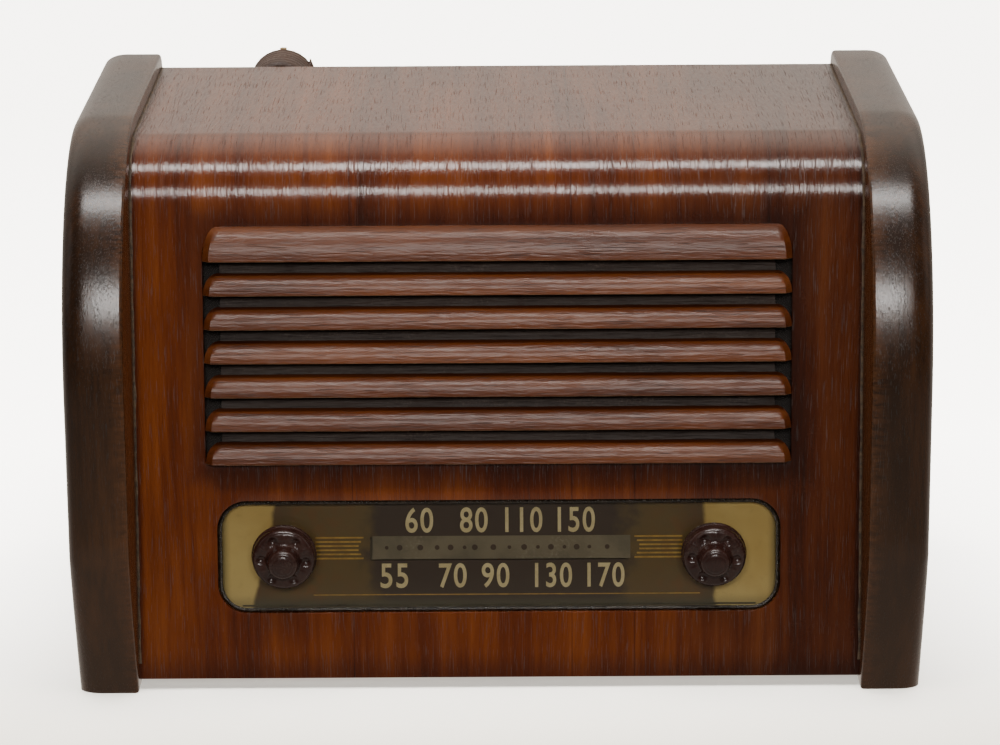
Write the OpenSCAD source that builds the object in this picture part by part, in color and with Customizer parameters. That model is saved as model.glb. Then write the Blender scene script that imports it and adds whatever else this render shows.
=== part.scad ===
// Tabletop valve radio: a bent veneered wrap between two solid end caps, a louvred grille over the
// loudspeaker, a glazed dial with two knobs, and the chassis that works it. Millimetres.
// X runs to the right, Y to the back, Z up; the origin is under the middle, on the table.

/* [Cabinet] */
// Width over both end caps
cabinet_w = 330; // [300:1:396]
// Depth of the end caps
cabinet_d = 194.6; // [170:1:240]
// Height to the crown of the end caps
cabinet_h = 217.7; // [210:1:262]
// Thickness of an end cap
cap_t = 23.5; // [15:0.5:30]
// How far the end caps stand out in front of the panel's foot
cap_front = 18.6; // [10:0.1:24]
// How far the end caps rise above the top
cap_rise = 6.5; // [2:0.5:12]
// Height of the panel's foot above the table
foot_h = 4.7; // [3:0.1:10]
// Thickness of the bent front and top
wrap_t = 6.5; // [5:0.1:8]
// Outer radius of the bend between front and top
bend_r = 26; // [16:1:34]
// How far the front leans back, in degrees
lean = 9.6; // [6:0.1:11]
// Thickness of the bottom board
board_t = 6; // [4:0.5:9]
// How far the wrap stops short of the back of the caps
wrap_inset = 4; // [2:0.5:8]
// How far the rear cover's inner face lies in front of the back of the caps
cover_inset = 11; // [9:0.5:16]
// Thickness of the rear cover
cover_t = 3; // [2:0.5:4]

/* [Grille] */
// Length of a louver
louver_w = 228; // [200:1:240]
// Number of louvers
louver_count = 7; // [7]
// Distance from one louver to the next, up the panel
louver_pitch = 13.2; // [12.6:0.1:14]
// Height of a louver, up the panel
louver_h = 8.3; // [7:0.1:9]
// How far a louver stands out of the panel
louver_out = 6.5; // [4:0.1:8]
// Height of the flat face at the front of a louver
louver_face = 2.4; // [1.5:0.1:4]
// Where the lowest louver starts, up the panel
grille_u = 86; // [84:0.1:90]
// Radius of the grille's upper corners
grille_r = 11.5; // [6:0.1:14]
// How much shorter a louver's inner tongue is, at each end
tongue_in = 6.5; // [4:0.1:9]

/* [Dial] */
// Width of the dial opening
dial_w = 220; // [210:1:226]
// Height of the dial opening, up the panel
dial_h = 44.7; // [40:0.1:48]
// Middle of the dial opening, up the panel
dial_u = 48.45; // [46:0.05:52]
// Corner radius of the dial opening
dial_r = 11.5; // [4:0.1:14]
// How far the glass lies below the panel's face
glass_in = 1.2; // [0.5:0.1:3]
// Gap round the glass
glass_gap = 0.3; // [0.2:0.1:0.8]
// Width of the slot in the dial face that the pointer shows through
band_w = 101.2; // [90:0.1:106]
// Height of that slot
band_h = 9.2; // [6:0.1:12]
// Middle of that slot, up the panel
band_u = 50.2; // [48:0.1:52]

/* [Controls] */
// Distance of each knob from the middle
knob_x = 83.7; // [80:0.1:90]
// Height of the knobs above the panel's foot
knob_z = 49.8; // [46:0.1:54]
// Radius of a knob's flange
knob_r = 12.7; // [10:0.1:15]
// Length of a knob, from the flange's back to the middle's face
knob_l = 13.7; // [11:0.1:16]
// Radius of the control shafts
shaft_r = 3.17; // [2.5:0.01:4]
// Radial clearance of a shaft in its bush
run_gap = 0.05; // [0.02:0.01:0.09]
// Radius of the cord's middle on the dial drum
drum_r = 29.6; // [26:0.1:32]
// Radius of the cord's middle on an idler
idler_r = 5; // [4:0.1:5.6]

/* [Chassis] */
// Width of the chassis
chassis_w = 236; // [220:1:260]
// Height of the chassis
chassis_h = 64; // [58:1:68]
// Sheet thickness of the chassis
sheet_t = 1.2; // [0.8:0.1:2]
// Front of the chassis, behind the panel's foot
chassis_y = 46; // [44:0.5:50]
// Radius of a valve's bulb
bulb_r = 14.5; // [12:0.1:16]
// Height of a valve above its socket
valve_h = 82; // [60:1:100]
// Outer radius of the loudspeaker's frame
speaker_r = 51; // [48:0.5:54]
// Middle of the loudspeaker, up the panel
speaker_u = 131; // [128:0.5:136]

/* [Power cord] */
// Radius of the cord
cord_r = 2; // [1.8:0.1:2.2]
// Half the distance between the hank's two runs
hank_r = 12; // [12:0.5:13]
// Length of the hank's straight runs
hank_run = 80; // [60:1:90]

/* [Hidden] */
$fn = 48;

half_in = cabinet_w / 2 - cap_t;                 // inner face of an end cap
back_y = cabinet_d - cap_front;                  // back of the caps, from the panel's foot
cover_y = back_y - cover_inset;                  // inner face of the rear cover
wrap_back = back_y - wrap_inset;
crown_z = cabinet_h - foot_h;
top_z = crown_z - cap_rise;                      // outer face of the top
bend_u = (top_z - bend_r + bend_r * sin(lean)) / cos(lean);
bend_y = bend_u * sin(lean) + bend_r * cos(lean);
bend_z = top_z - bend_r;

cap_crown_in = 2;                                // rounding of a cap's inner edge
cap_crown_out = 5;                               // rounding of its outer edge
cap_round_w = 9;                                 // width of that outer rounding
cap_foot_y = -3;
belly_z = 56;
shoulder_z = crown_z - 94;

grille_h = (louver_count - 1) * louver_pitch + louver_pitch;
cloth_t = 0.5;
cloth_over = 4;                                  // how far the cloth laps past the opening
baffle_t = 5;
baffle_v = wrap_t + cloth_t;                     // depth of the baffle's front, behind the panel's face
frame_v = baffle_v + baffle_t;                   // depth of the loudspeaker's flange

face_t = 0.8;
face_over = 8;
face_low = dial_u - dial_h / 2 - 6;
face_high = dial_u + dial_h / 2 + 5;
mirror_v = wrap_t + 4.5;                         // depth of the reflector behind the dial face
needle_v = wrap_t + 1.8;

cord_y = chassis_y - 6;                          // plane of the dial cord
string_r = 0.4;
string_gap = 0.3;
winding_r = shaft_r + string_r + string_gap;     // cord's middle on the tuning shaft
run_z = knob_z + 12.2;                           // upper run of the dial cord
rail_z = run_z - idler_r;
travel = drum_r * PI / 2;                        // pointer's way to each side
rail_r = 1.2;
drum_x = 92;
drum_z = board_t + chassis_h + 28;
right_idler_x = drum_x - drum_r - idler_r;
left_idler_x = -travel - 15.5;
pin_r = 2;
rotor_shaft_r = 3;
rotor_r = 16;
plate_t = 0.8;
plate_pitch = 3.2;
plates = 6;
gang_w = 38;
gang_y = chassis_y + 6;
gang_l = 46;
gang_t = 1.6;

flange_y = (knob_z - knob_r) * tan(lean) - 1;    // back of the knobs' flanges, clear of the glass
chassis_top = board_t + chassis_h;
chassis_back = cover_y - 7;
hole_r = 2;
bolt_r = 1.6;
bush_r = 4.7;
can_r = 12;

valve_back = 27;                                 // from a valve's middle to the rear cover
VALVE_X = [-98, -57, -16, 25, 62];
socket_t = 2.5;

cover_screw_r = 1.5;
cleat_w = 12;
grommet_x = -30;
grommet_z = 24;
grommet_r = 9;

hank_x = -92;
hank_top = cabinet_h - 5;
cord_meet_z = hank_top - 92.7;
hank_y = 99;                                     // middle of the cord in the foremost turn
hank_turns = 6;
hank_pitch = 4.1;
hank_deep = (hank_turns - 0.5) * hank_pitch;
hook_r = 1.5;
LEAD = [[-30, 111, 29], [-30, 118, 28.6], [-31, 126, 26], [-33, 134, 20], [-37, 141, 12], [-43, 147, 5.5],
    [-50, 151, 2.6], [-58, 153, 2], [-66, 152.5, 2], [-73, 149, 2], [-78, 142.5, 3.6], [-80, 135.5, 8],
    [-80, 129.5, 15], [-80, 125, 25], [-80, 122.4, 38], [-80, 121.6, 55], [-80, 121.6, 75], [-80, 121.6, 95],
    [-80, 121.6, cord_meet_z]];
TAIL = [[-104, 99, cord_meet_z], [-104, 99, 95], [-104, 99, 70], [-104, 99, 48], [-104, 100, 32], [-104, 103.5, 20],
    [-104, 110, 10], [-104, 119, 4], [-104, 129, 2], [-104, 139, 2], [-106, 148.5, 2], [-111.5, 156, 2],
    [-120, 160, 2.2], [-129, 158.5, 4], [-136, 152.5, 6.8], [-140, 144, 8.8], [-141.5, 138, 9]];
plug_r = 9;
plug_l = 24;
plug_turn = 104;                                 // direction of the plug, from +X towards -Y

// Placement
module from_foot() translate([0, cap_front - cabinet_d / 2, foot_h]) children();
module on_panel() from_foot() rotate([-lean, 0, 0]) children();
module to_back(x, y, z) translate([x, y, z]) rotate([-90, 0, 0]) children();
module to_front(x, y, z) translate([x, y, z]) rotate([90, 0, 0]) children();

// Shapes that repeat
module rounded(w, h, r) {
    square([w - 2 * r, h], center = true);
    square([w, h - 2 * r], center = true);
    for (x = [-1, 1], y = [-1, 1]) translate([x * (w / 2 - r), y * (h / 2 - r)]) circle(r);
}

// A board parallel to the panel: width w, from u0 to u1 up the panel, from v0 to v1 behind its face
module board(w, u0, u1, v0, v1) {
    translate([-w / 2, v0, u0]) cube([w, v1 - v0, u1 - u0]);
}

// A rounded board of the same kind, which is also the shape of an opening
module pane(w, u0, u1, v0, v1, r) {
    translate([0, v1, (u0 + u1) / 2]) rotate([90, 0, 0]) linear_extrude(v1 - v0) rounded(w, u1 - u0, r);
}

function bezier(a, b, c, d, t) =
    pow(1 - t, 3) * a + 3 * pow(1 - t, 2) * t * b + 3 * (1 - t) * t * t * c + pow(t, 3) * d;

// Side outline of an end cap: a foot that curves forward, a nearly straight front and a full shoulder
function cap_outline() = let(front_lean = 4.45, shoulder_y = -cap_front + (shoulder_z - belly_z) * tan(front_lean))
    concat(
        [[back_y, -foot_h]],
        [for (i = [0:6]) bezier([cap_foot_y, -foot_h], [-9.5, 12], [-cap_front - 0.3, 32], [-cap_front, belly_z], i / 6)],
        [for (i = [0:22]) bezier([shoulder_y, shoulder_z], [shoulder_y + 3.9, shoulder_z + 49.8],
            [shoulder_y + 33.7, crown_z], [shoulder_y + 75.7, crown_z], i / 22)],
        [for (i = [0:4]) [back_y - 8 + 8 * sin(i * 22.5), crown_z - 8 + 8 * cos(i * 22.5)]]);

// The outline drawn in by d, with its foot left on the table and lifted by up
function drawn_in(points, d, up) = [for (p = points)
    [back_y / 2 + (p[0] - back_y / 2) * (1 - 2 * d / cabinet_d),
        max(-foot_h + up, -foot_h + (p[1] + foot_h) * (1 - d / cabinet_h))]];

// Rings of a cap's loft: distance from the inner face, how far the outline is drawn in, lift of its foot
CAP_RINGS = concat([[0, cap_crown_in, 0], [1, 0.8, 0], [3, 0, 0], [cap_t - cap_round_w, 0, 0]],
    [for (a = [30, 50, 70, 90]) [cap_t - cap_round_w + cap_round_w * sin(a), cap_crown_out * (1 - cos(a)),
        4 * (1 - cos(a))]]);

// One end cap; side is -1 for the left and 1 for the right
module end_cap(side) from_foot() scale([side, 1, 1]) {
    rings = [for (c = CAP_RINGS) [for (p = drawn_in(cap_outline(), c[1], c[2])) [half_in + c[0], p[0], p[1]]]];
    n = len(rings[0]);
    last = len(rings) - 1;
    polyhedron([for (r = rings, p = r) p], concat([[for (k = [0:n - 1]) k]], [[for (k = [n - 1:-1:0]) last * n + k]],
        [for (i = [0:last - 1], k = [0:n - 1]) [i * n + k, (i + 1) * n + k, i * n + (k + 1) % n]],
        [for (i = [0:last - 1], k = [0:n - 1]) [i * n + (k + 1) % n, (i + 1) * n + k, (i + 1) * n + (k + 1) % n]]));
}

// Points of the bend at radius r, from the front round to the top
function bend_arc(r) = [for (i = [0:16]) let(a = 180 - lean - (90 - lean) * i / 16) [bend_y + r * cos(a), bend_z + r * sin(a)]];

// Side section of the bent wrap
module wrap_section() polygon(concat([[0, 0]], bend_arc(bend_r), [[wrap_back, top_z], [wrap_back, top_z - wrap_t]],
    [for (i = [16:-1:0]) bend_arc(bend_r - wrap_t)[i]], [[wrap_t * cos(lean), -wrap_t * sin(lean)]]));

module shaft_holes(r) for (x = [-knob_x, knob_x]) from_foot() to_back(x, -30, knob_z) cylinder(r = r, h = chassis_y + 29);

// Cabinet
module cabinet_wrap() color("saddlebrown") difference() {
    from_foot() rotate([90, 0, 90]) linear_extrude(2 * half_in, center = true) wrap_section();
    on_panel() pane(dial_w, dial_u - dial_h / 2, dial_u + dial_h / 2, -1, wrap_t + 1, dial_r);
    on_panel() pane(louver_w, grille_u, grille_u + grille_h, -1, wrap_t + 1, grille_r);
    on_panel() board(louver_w, grille_u, grille_u + 2 * grille_r, -1, wrap_t + 1);
    hook_shank();
}

module left_end_cap() color("#2a1712") end_cap(-1);
module right_end_cap() color("#2a1712") end_cap(1);

board_y = wrap_t / cos(lean) + board_t * tan(lean);
bolt_x = chassis_w / 2 - 6;
BOLT_Y = [chassis_y + 14, chassis_back - 14];

module bottom_board() color("burlywood") from_foot() difference() {
    translate([-half_in, board_y, 0]) cube([2 * half_in, cover_y - board_y, board_t]);
    for (x = [-bolt_x, bolt_x], y = BOLT_Y) translate([x, y, -1]) cylinder(r = hole_r, h = board_t + 2);
}

function panel_back(z) = z * tan(lean) + wrap_t / cos(lean);

module glue_blocks() color("tan") from_foot() for (x = [-104, -38, 38, 104]) translate([x, 0, 0])
    rotate([90, 0, 90]) linear_extrude(26, center = true)
        polygon([[panel_back(board_t), board_t], [panel_back(board_t + 10), board_t + 10], [board_y + 12, board_t]]);

module side_cleats() color("tan") from_foot() for (s = [-1, 1]) difference() {
    translate([s * (half_in - cleat_w / 2), cover_y - cleat_w / 2, (board_t + top_z - wrap_t) / 2])
        cube([cleat_w, cleat_w, top_z - wrap_t - board_t], center = true);
    for (z = COVER_SCREW_Z) to_back(s * (half_in - cleat_w / 2), cover_y - cleat_w - 1, z) cylinder(r = cover_screw_r, h = cleat_w + 2);
}

// Grille
module louver(i) color("sienna") on_panel() {
    h = i == louver_count ? louver_pitch : louver_h;
    intersection() {
        translate([0, 0, grille_u + (i - 1) * louver_pitch]) rotate([90, 0, 90]) {
            linear_extrude(louver_w, center = true) {
                polygon(concat([[2, 0], [-louver_out, 0]],
                    [for (a = [0:9:90]) [-louver_out * cos(a), louver_face + (h - louver_face) * sin(a)]], [[2, h]]));
            }
            if (i < louver_count) linear_extrude(louver_w - 2 * tongue_in, center = true)
                polygon([[1.9, 1], [1.9, h], [4.6, h + 7.4], [wrap_t - 0.3, h + 7.4], [wrap_t - 0.3, h + 4.6]]);
        }
        pane(louver_w, grille_u - 3 * grille_r, grille_u + grille_h, -20, 20, grille_r);
    }
}
module louver_1() louver(1);
module louver_2() louver(2);
module louver_3() louver(3);
module louver_4() louver(4);
module louver_5() louver(5);
module louver_6() louver(6);
module louver_7() louver(7);

cloth_w = louver_w + 2 * cloth_over;
cloth_low = grille_u - cloth_over;
cloth_high = min(grille_u + grille_h + cloth_over, bend_u);

module grille_cloth() color("#241c18") on_panel() board(cloth_w, cloth_low, cloth_high, wrap_t, wrap_t + cloth_t);

// Loudspeaker, in its own frame: its axis runs back from the baffle
module at_speaker() on_panel() to_back(0, 0, speaker_u) children();
function screw_place(a) = [(speaker_r - 3.6) * cos(a), (speaker_r - 3.6) * sin(a)];

module speaker_baffle() color("peru") difference() {
    on_panel() board(cloth_w, cloth_low, cloth_high, baffle_v, frame_v);
    at_speaker() translate([0, 0, baffle_v - 1]) cylinder(r = speaker_r - 7, h = baffle_t + 2);
    at_speaker() for (a = [45:90:315]) translate([screw_place(a)[0], screw_place(a)[1], baffle_v + 1]) cylinder(r = bolt_r, h = baffle_t);
}

module speaker_basket() color("dimgray") at_speaker() translate([0, 0, frame_v]) difference() {
    rotate_extrude() polygon([[speaker_r - 7, 0], [speaker_r, 0], [speaker_r, sheet_t], [speaker_r - 6, sheet_t],
        [24, 26], [20, 26], [8, 26], [8, 24.5], [22, 24.5], [speaker_r - 7.8, sheet_t]]);
    for (a = [45:90:315]) translate([screw_place(a)[0], screw_place(a)[1], -1]) cylinder(r = bolt_r, h = 9);
    for (a = [0:90:270]) rotate([0, 0, a]) translate([18, -9, 8]) cube([40, 18, 10]);
}

module speaker_cone() color("#4a3a2c") at_speaker() translate([0, 0, frame_v]) rotate_extrude()
    polygon([[0, 14.5], [6, 16], [9, 19.5], [9, 22], [11, 22], [39, 2], [speaker_r - 7.9, 1], [speaker_r - 7.9, 0.4],
        [38.5, 1], [12, 19.5], [8, 15], [0, 13.5]]);

module speaker_magnet() color("silver") at_speaker() translate([0, 0, frame_v + 26]) union() {
    cylinder(r = 19, h = 4);
    cylinder(r = 16.5, h = 18);
    translate([0, 0, 18]) cylinder(r = 19, h = 3);
}

module speaker_screws() color("gold") at_speaker() for (a = [45:90:315])
    translate([screw_place(a)[0], screw_place(a)[1], 0]) {
        translate([0, 0, baffle_v + 1]) cylinder(r = bolt_r, h = frame_v + sheet_t - baffle_v);
        translate([0, 0, frame_v + sheet_t]) cylinder(r = 2.6, h = 1.8);
    }

// Dial
module dial_glass() color("beige", 0.4) difference() {
    on_panel() pane(dial_w - 2 * glass_gap, dial_u - dial_h / 2 + glass_gap, dial_u + dial_h / 2 - glass_gap,
        glass_in, wrap_t, dial_r - glass_gap);
    shaft_holes(shaft_r + 2);
}

module dial_face() color("#3a2a1a") difference() {
    on_panel() difference() {
        board(dial_w + 2 * face_over, face_low, face_high, wrap_t, wrap_t + face_t);
        board(band_w, band_u - band_h / 2, band_u + band_h / 2, 0, 20);
    }
    shaft_holes(shaft_r + 2);
}

module dial_clips() color("silver") on_panel() for (s = [-1, 1], u = [face_low + 6, face_high - 14])
    translate([s * (dial_w / 2 + face_over), 0, u]) scale([s, 1, 1]) {
        translate([-4, wrap_t + face_t, 0]) cube([4, sheet_t, 8]);
        translate([0, wrap_t, 0]) cube([7, face_t + sheet_t, 8]);
    }

mirror_low = band_u - 12;
mirror_high = band_u + 10.5;
arm_z = mirror_low * cos(lean) - mirror_v * sin(lean) + 1;

module scale_reflector() color("#6f7566") {
    on_panel() board(2 * travel + 27, mirror_low, mirror_high, mirror_v, mirror_v + face_t);
    from_foot() for (x = [-50, 42]) translate([x, mirror_low * sin(lean) + mirror_v, arm_z])
        cube([8, chassis_y - mirror_low * sin(lean) - mirror_v, sheet_t]);
}

module pointer_rail() color("silver") from_foot() {
    translate([-travel - 7, cord_y, rail_z]) rotate([0, 90, 0]) cylinder(r = rail_r, h = 2 * travel + 14);
    for (x = [-travel - 7, travel + 5]) translate([x, cord_y - 1.2, rail_z - 1.2]) cube([2, chassis_y - cord_y + 1.2, 2.4]);
}

needle_top = band_u + 14.5;
link_y = needle_top * sin(lean) + needle_v * cos(lean);
link_z = needle_top * cos(lean) - needle_v * sin(lean);

module dial_pointer() color("#7a2c1c") {
    on_panel() board(1.2, band_u - 6, needle_top, needle_v, needle_v + 0.7);
    from_foot() translate([-0.6, link_y, link_z - 1]) cube([1.2, cord_y - 1.8 - link_y, 1]);
    from_foot() difference() {
        translate([-0.6, cord_y - 3, rail_z - 1]) cube([1.2, 1.2, link_z - rail_z + 1]);
        translate([-4, cord_y, rail_z]) rotate([0, 90, 0]) cylinder(r = rail_r + run_gap, h = 8);
    }
    from_foot() difference() {
        translate([-4, cord_y - 3, rail_z - 3]) cube([8, 6, 6]);
        translate([-5, cord_y, rail_z]) rotate([0, 90, 0]) cylinder(r = rail_r + run_gap, h = 10);
    }
}

// A grooved wheel whose cord runs at radius r: half width w, flange rim, bore
module wheel(r, w, rim, bore) rotate_extrude() polygon([[bore, -w], [r + rim, -w], [r + rim, 0.6 - w],
    [r - string_r - string_gap, 0.9 - w], [r - string_r - string_gap, w - 0.9], [r + rim, w - 0.6], [r + rim, w], [bore, w]]);

module idler_pins() color("silver") from_foot()
    for (p = [[left_idler_x, rail_z], [right_idler_x, run_z + idler_r]]) to_back(p[0], cord_y - 3, p[1]) {
        cylinder(r = pin_r, h = chassis_y - cord_y + 3);
        translate([0, 0, 4.9]) cylinder(r = pin_r + 1, h = chassis_y - cord_y - 1.9);
        cylinder(r = pin_r + 1, h = 1.1);
    }
module left_idler() color("ivory") from_foot() to_back(left_idler_x, cord_y, rail_z) wheel(idler_r, 1.5, 1, pin_r + run_gap);
module right_idler() color("ivory") from_foot() to_back(right_idler_x, cord_y, run_z + idler_r) wheel(idler_r, 1.5, 1, pin_r + run_gap);
module dial_drum() color("gainsboro") from_foot() to_back(drum_x, cord_y, drum_z) difference() {
    wheel(drum_r, 2, 1.6, rotor_shaft_r);
    for (a = [30:60:330]) rotate([0, 0, a]) translate([16, 0, -3]) cylinder(r = 5, h = 6);
}

// The dial cord's loop, in its own plane: over the drum, round both idlers and under the tuning shaft
function arc(c, r, from, to, n) = [for (i = [0:n]) let(a = from + (to - from) * i / n) [c[0] + r * cos(a), c[1] + r * sin(a)]];
// Angle of the normal of an outer tangent of two circles; way is 1 or -1 for its side
function tangent_angle(c1, r1, c2, r2, way) = let(d = c2 - c1) atan2(d[1], d[0]) + way * acos((r1 - r2) / norm(d));
drum_c = [drum_x, drum_z];
shaft_c = [knob_x, knob_z];
left_c = [left_idler_x, rail_z];
right_c = [right_idler_x, run_z + idler_r];
down_a = tangent_angle(drum_c, drum_r, shaft_c, winding_r, 1);
low_a = tangent_angle(shaft_c, winding_r, left_c, idler_r, 1) - 360;
STRING = concat(arc(drum_c, drum_r, 180, down_a, 22), arc(shaft_c, winding_r, down_a, low_a, 5),
    arc(left_c, idler_r, low_a, -270, 10), arc(right_c, idler_r, -90, 0, 5));

module dial_cord() color("khaki") from_foot() {
    n = len(STRING);
    sides = 6;
    points = [for (i = [0:n - 1]) let(d = STRING[(i + 1) % n] - STRING[(i + n - 1) % n], t = d / norm(d))
        for (k = [0:sides - 1]) let(a = k * 360 / sides, r = string_r * cos(a))
            [STRING[i][0] - t[1] * r, cord_y + string_r * sin(a), STRING[i][1] + t[0] * r]];
    polyhedron(points, [for (i = [0:n - 1], k = [0:sides - 1])
        [i * sides + k, i * sides + (k + 1) % sides, ((i + 1) % n) * sides + (k + 1) % sides, ((i + 1) % n) * sides + k]]);
}

// Tuning gang
module half_disc(r) intersection() {
    circle(r);
    translate([-r, -r]) square([2 * r, r]);
}

module gang_rotor() color("gainsboro") from_foot() to_back(drum_x, 0, drum_z) {
    translate([0, 0, cord_y - 3]) cylinder(r = rotor_shaft_r, h = gang_y + gang_l - cord_y + 3 + 4);
    for (i = [0:plates]) translate([0, 0, gang_y + gang_l / 2 + (i - plates / 2) * plate_pitch - plate_t / 2])
        linear_extrude(plate_t) mirror([0, 1]) half_disc(rotor_r);
}

module gang_stator() color("silver") from_foot() to_back(drum_x, 0, drum_z) {
    for (i = [0:plates - 1]) translate([0, 0, gang_y + gang_l / 2 + (i + 0.5 - plates / 2) * plate_pitch - plate_t / 2])
        linear_extrude(plate_t) rotate(90) difference() {
            half_disc(rotor_r + 2.5);
            circle(rotor_shaft_r + 2);
        }
    for (a = [-50, 50]) rotate([0, 0, a]) translate([rotor_r + 2.2, 0, gang_y + gang_t]) cylinder(r = 1.4, h = gang_l - 2 * gang_t);
}

module gang_frame() color("lightslategray") from_foot() difference() {
    union() {
        translate([drum_x - gang_w / 2, gang_y, chassis_top]) cube([gang_w, gang_l, gang_t]);
        for (y = [gang_y, gang_y + gang_l - gang_t]) translate([drum_x - gang_w / 2, y, chassis_top])
            cube([gang_w, gang_t, drum_z - chassis_top + rotor_r]);
    }
    to_back(drum_x, gang_y - 1, drum_z) cylinder(r = rotor_shaft_r + run_gap, h = gang_l + 2);
}

// Knobs and the controls that they turn
module knob(x) color("#3c2a26") from_foot() difference() {
    to_front(x, flange_y, knob_z) difference() {
        union() {
            cylinder(r = knob_r, h = 2);
            cylinder(r = knob_r - 1.2, h = 5);
            cylinder(r = 5.6, h = knob_l);
        }
        for (a = [0:60:300]) rotate([0, 0, a]) translate([8.1, 0, 7]) sphere(r = 3.2);
    }
    to_front(x, flange_y + 1, knob_z) cylinder(r = shaft_r, h = knob_l - 2);
}
module tuning_knob() knob(knob_x);
module volume_knob() knob(-knob_x);

// A shaft from the bottom of the knob's bore to the given depth behind the chassis front
module control_shaft(x, deep) color("silver") from_foot()
    to_back(x, flange_y - knob_l + 3, knob_z) cylinder(r = shaft_r, h = chassis_y + deep - flange_y + knob_l - 3);
bush_l = 3.5;
module tuning_shaft() {
    control_shaft(knob_x, 16);
    color("silver") from_foot() to_back(knob_x, chassis_y + 11.2, knob_z) cylinder(r = shaft_r + 1.6, h = 1);
}
module volume_shaft() control_shaft(-knob_x, 11);

// A threaded bush with its nut, in front of the chassis and through its wall
module bush(x) {
    to_back(x, chassis_y - bush_l, knob_z) cylinder(r = bush_r, h = bush_l + sheet_t);
    to_back(x, chassis_y - 2.4, knob_z) cylinder(r = bush_r + 2.6, h = 2.4, $fn = 6);
}

module tuning_bush() color("goldenrod") from_foot() difference() {
    union() {
        bush(knob_x);
        to_back(knob_x, chassis_y + sheet_t, knob_z) cylinder(r = bush_r + 2, h = 9.8);
    }
    to_back(knob_x, 0, knob_z) cylinder(r = shaft_r + run_gap, h = chassis_y + 20);
}

module volume_control() color("silver") from_foot() difference() {
    union() {
        bush(-knob_x);
        to_back(-knob_x, chassis_y + sheet_t, knob_z) cylinder(r = can_r, h = 14);
        for (s = [-5, 0, 5]) translate([-knob_x + s - 1, chassis_y + 4, knob_z - can_r - 6]) cube([2, 0.8, 8]);
    }
    to_back(-knob_x, 0, knob_z) cylinder(r = shaft_r + run_gap, h = chassis_y + 11.4);
}

// Chassis
module chassis() color("darkgray") from_foot() difference() {
    translate([-chassis_w / 2, chassis_y, board_t]) cube([chassis_w, chassis_back - chassis_y, chassis_h]);
    translate([-chassis_w / 2 + sheet_t, chassis_y + sheet_t, board_t + sheet_t])
        cube([chassis_w - 2 * sheet_t, chassis_back - chassis_y - 2 * sheet_t, chassis_h - 2 * sheet_t]);
    translate([-chassis_w / 2 + 12, chassis_y + sheet_t, board_t - 1])
        cube([chassis_w - 24, chassis_back - chassis_y - 2 * sheet_t, 4]);
    for (x = [-knob_x, knob_x]) to_back(x, chassis_y - 1, knob_z) cylinder(r = bush_r, h = sheet_t + 2);
    for (x = VALVE_X) translate([x, cover_y - valve_back, chassis_top - 4]) cylinder(r = bulb_r - 3, h = 5);
    for (x = [-bolt_x, bolt_x], y = BOLT_Y) translate([x, y, board_t - 1]) cylinder(r = hole_r, h = 4);
    to_back(grommet_x, chassis_back - 3, grommet_z) cylinder(r = 5, h = 5);
}

module chassis_bolts() color("silver") from_foot() for (x = [-bolt_x, bolt_x], y = BOLT_Y) translate([x, y, 0]) {
    cylinder(r = bolt_r, h = board_t + sheet_t + 4);
    translate([0, 0, -1.8]) cylinder(r = 3.4, h = 1.8);
    translate([0, 0, board_t + sheet_t]) cylinder(r = 3.2, h = 2.4, $fn = 6);
}

module valve_sockets() color("#5a3a22") from_foot() for (x = VALVE_X) translate([x, cover_y - valve_back, chassis_top]) difference() {
    union() {
        cylinder(r = bulb_r + 1, h = socket_t);
        translate([0, 0, -6]) cylinder(r = bulb_r - 3.1, h = 6.5);
    }
    translate([0, 0, socket_t - 4]) cylinder(r = 4, h = 5);
}

module valve(i) color("#c9c4b4") from_foot() translate([VALVE_X[i - 1], cover_y - valve_back, chassis_top + socket_t]) {
    translate([0, 0, -3.8]) cylinder(r = 3.8, h = 4);
    cylinder(r = bulb_r, h = 14);
    cylinder(r = bulb_r - 1, h = valve_h - bulb_r);
    translate([0, 0, valve_h - bulb_r - 1]) sphere(r = bulb_r - 1);
}
module valve_1() valve(1);
module valve_2() valve(2);
module valve_3() valve(3);
module valve_4() valve(4);
module valve_5() valve(5);

can_w = 28;
module coil_cans() color("silver") from_foot() for (x = [-58, 44])
    translate([x - can_w / 2, chassis_y + 37, chassis_top]) cube([can_w, can_w, 66]);
module filter_capacitor() color("lightsteelblue") from_foot() translate([0, chassis_y + 54, chassis_top]) cylinder(r = 10, h = 36);
module output_transformer() color("#4a4038") from_foot() translate([-93, chassis_y + 26, chassis_top]) {
    translate([-17, -9, 0]) cube([34, 18, 30]);
    translate([-11, -15, 5]) cube([22, 30, 20]);
    translate([-24, -9, 0]) cube([48, 18, sheet_t]);
}
lamp_z = 34;
module pilot_lamp() color("khaki") from_foot() {
    translate([-40, chassis_y - 15, lamp_z]) rotate([0, 90, 0]) {
        cylinder(r = 5.6, h = 12);
        translate([0, 0, 12]) cylinder(r = 4.4, h = 9);
        translate([0, 0, 21]) sphere(r = 4.4);
    }
    translate([-38, chassis_y - 14, lamp_z - 1]) cube([8, 14, 2]);
}

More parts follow.
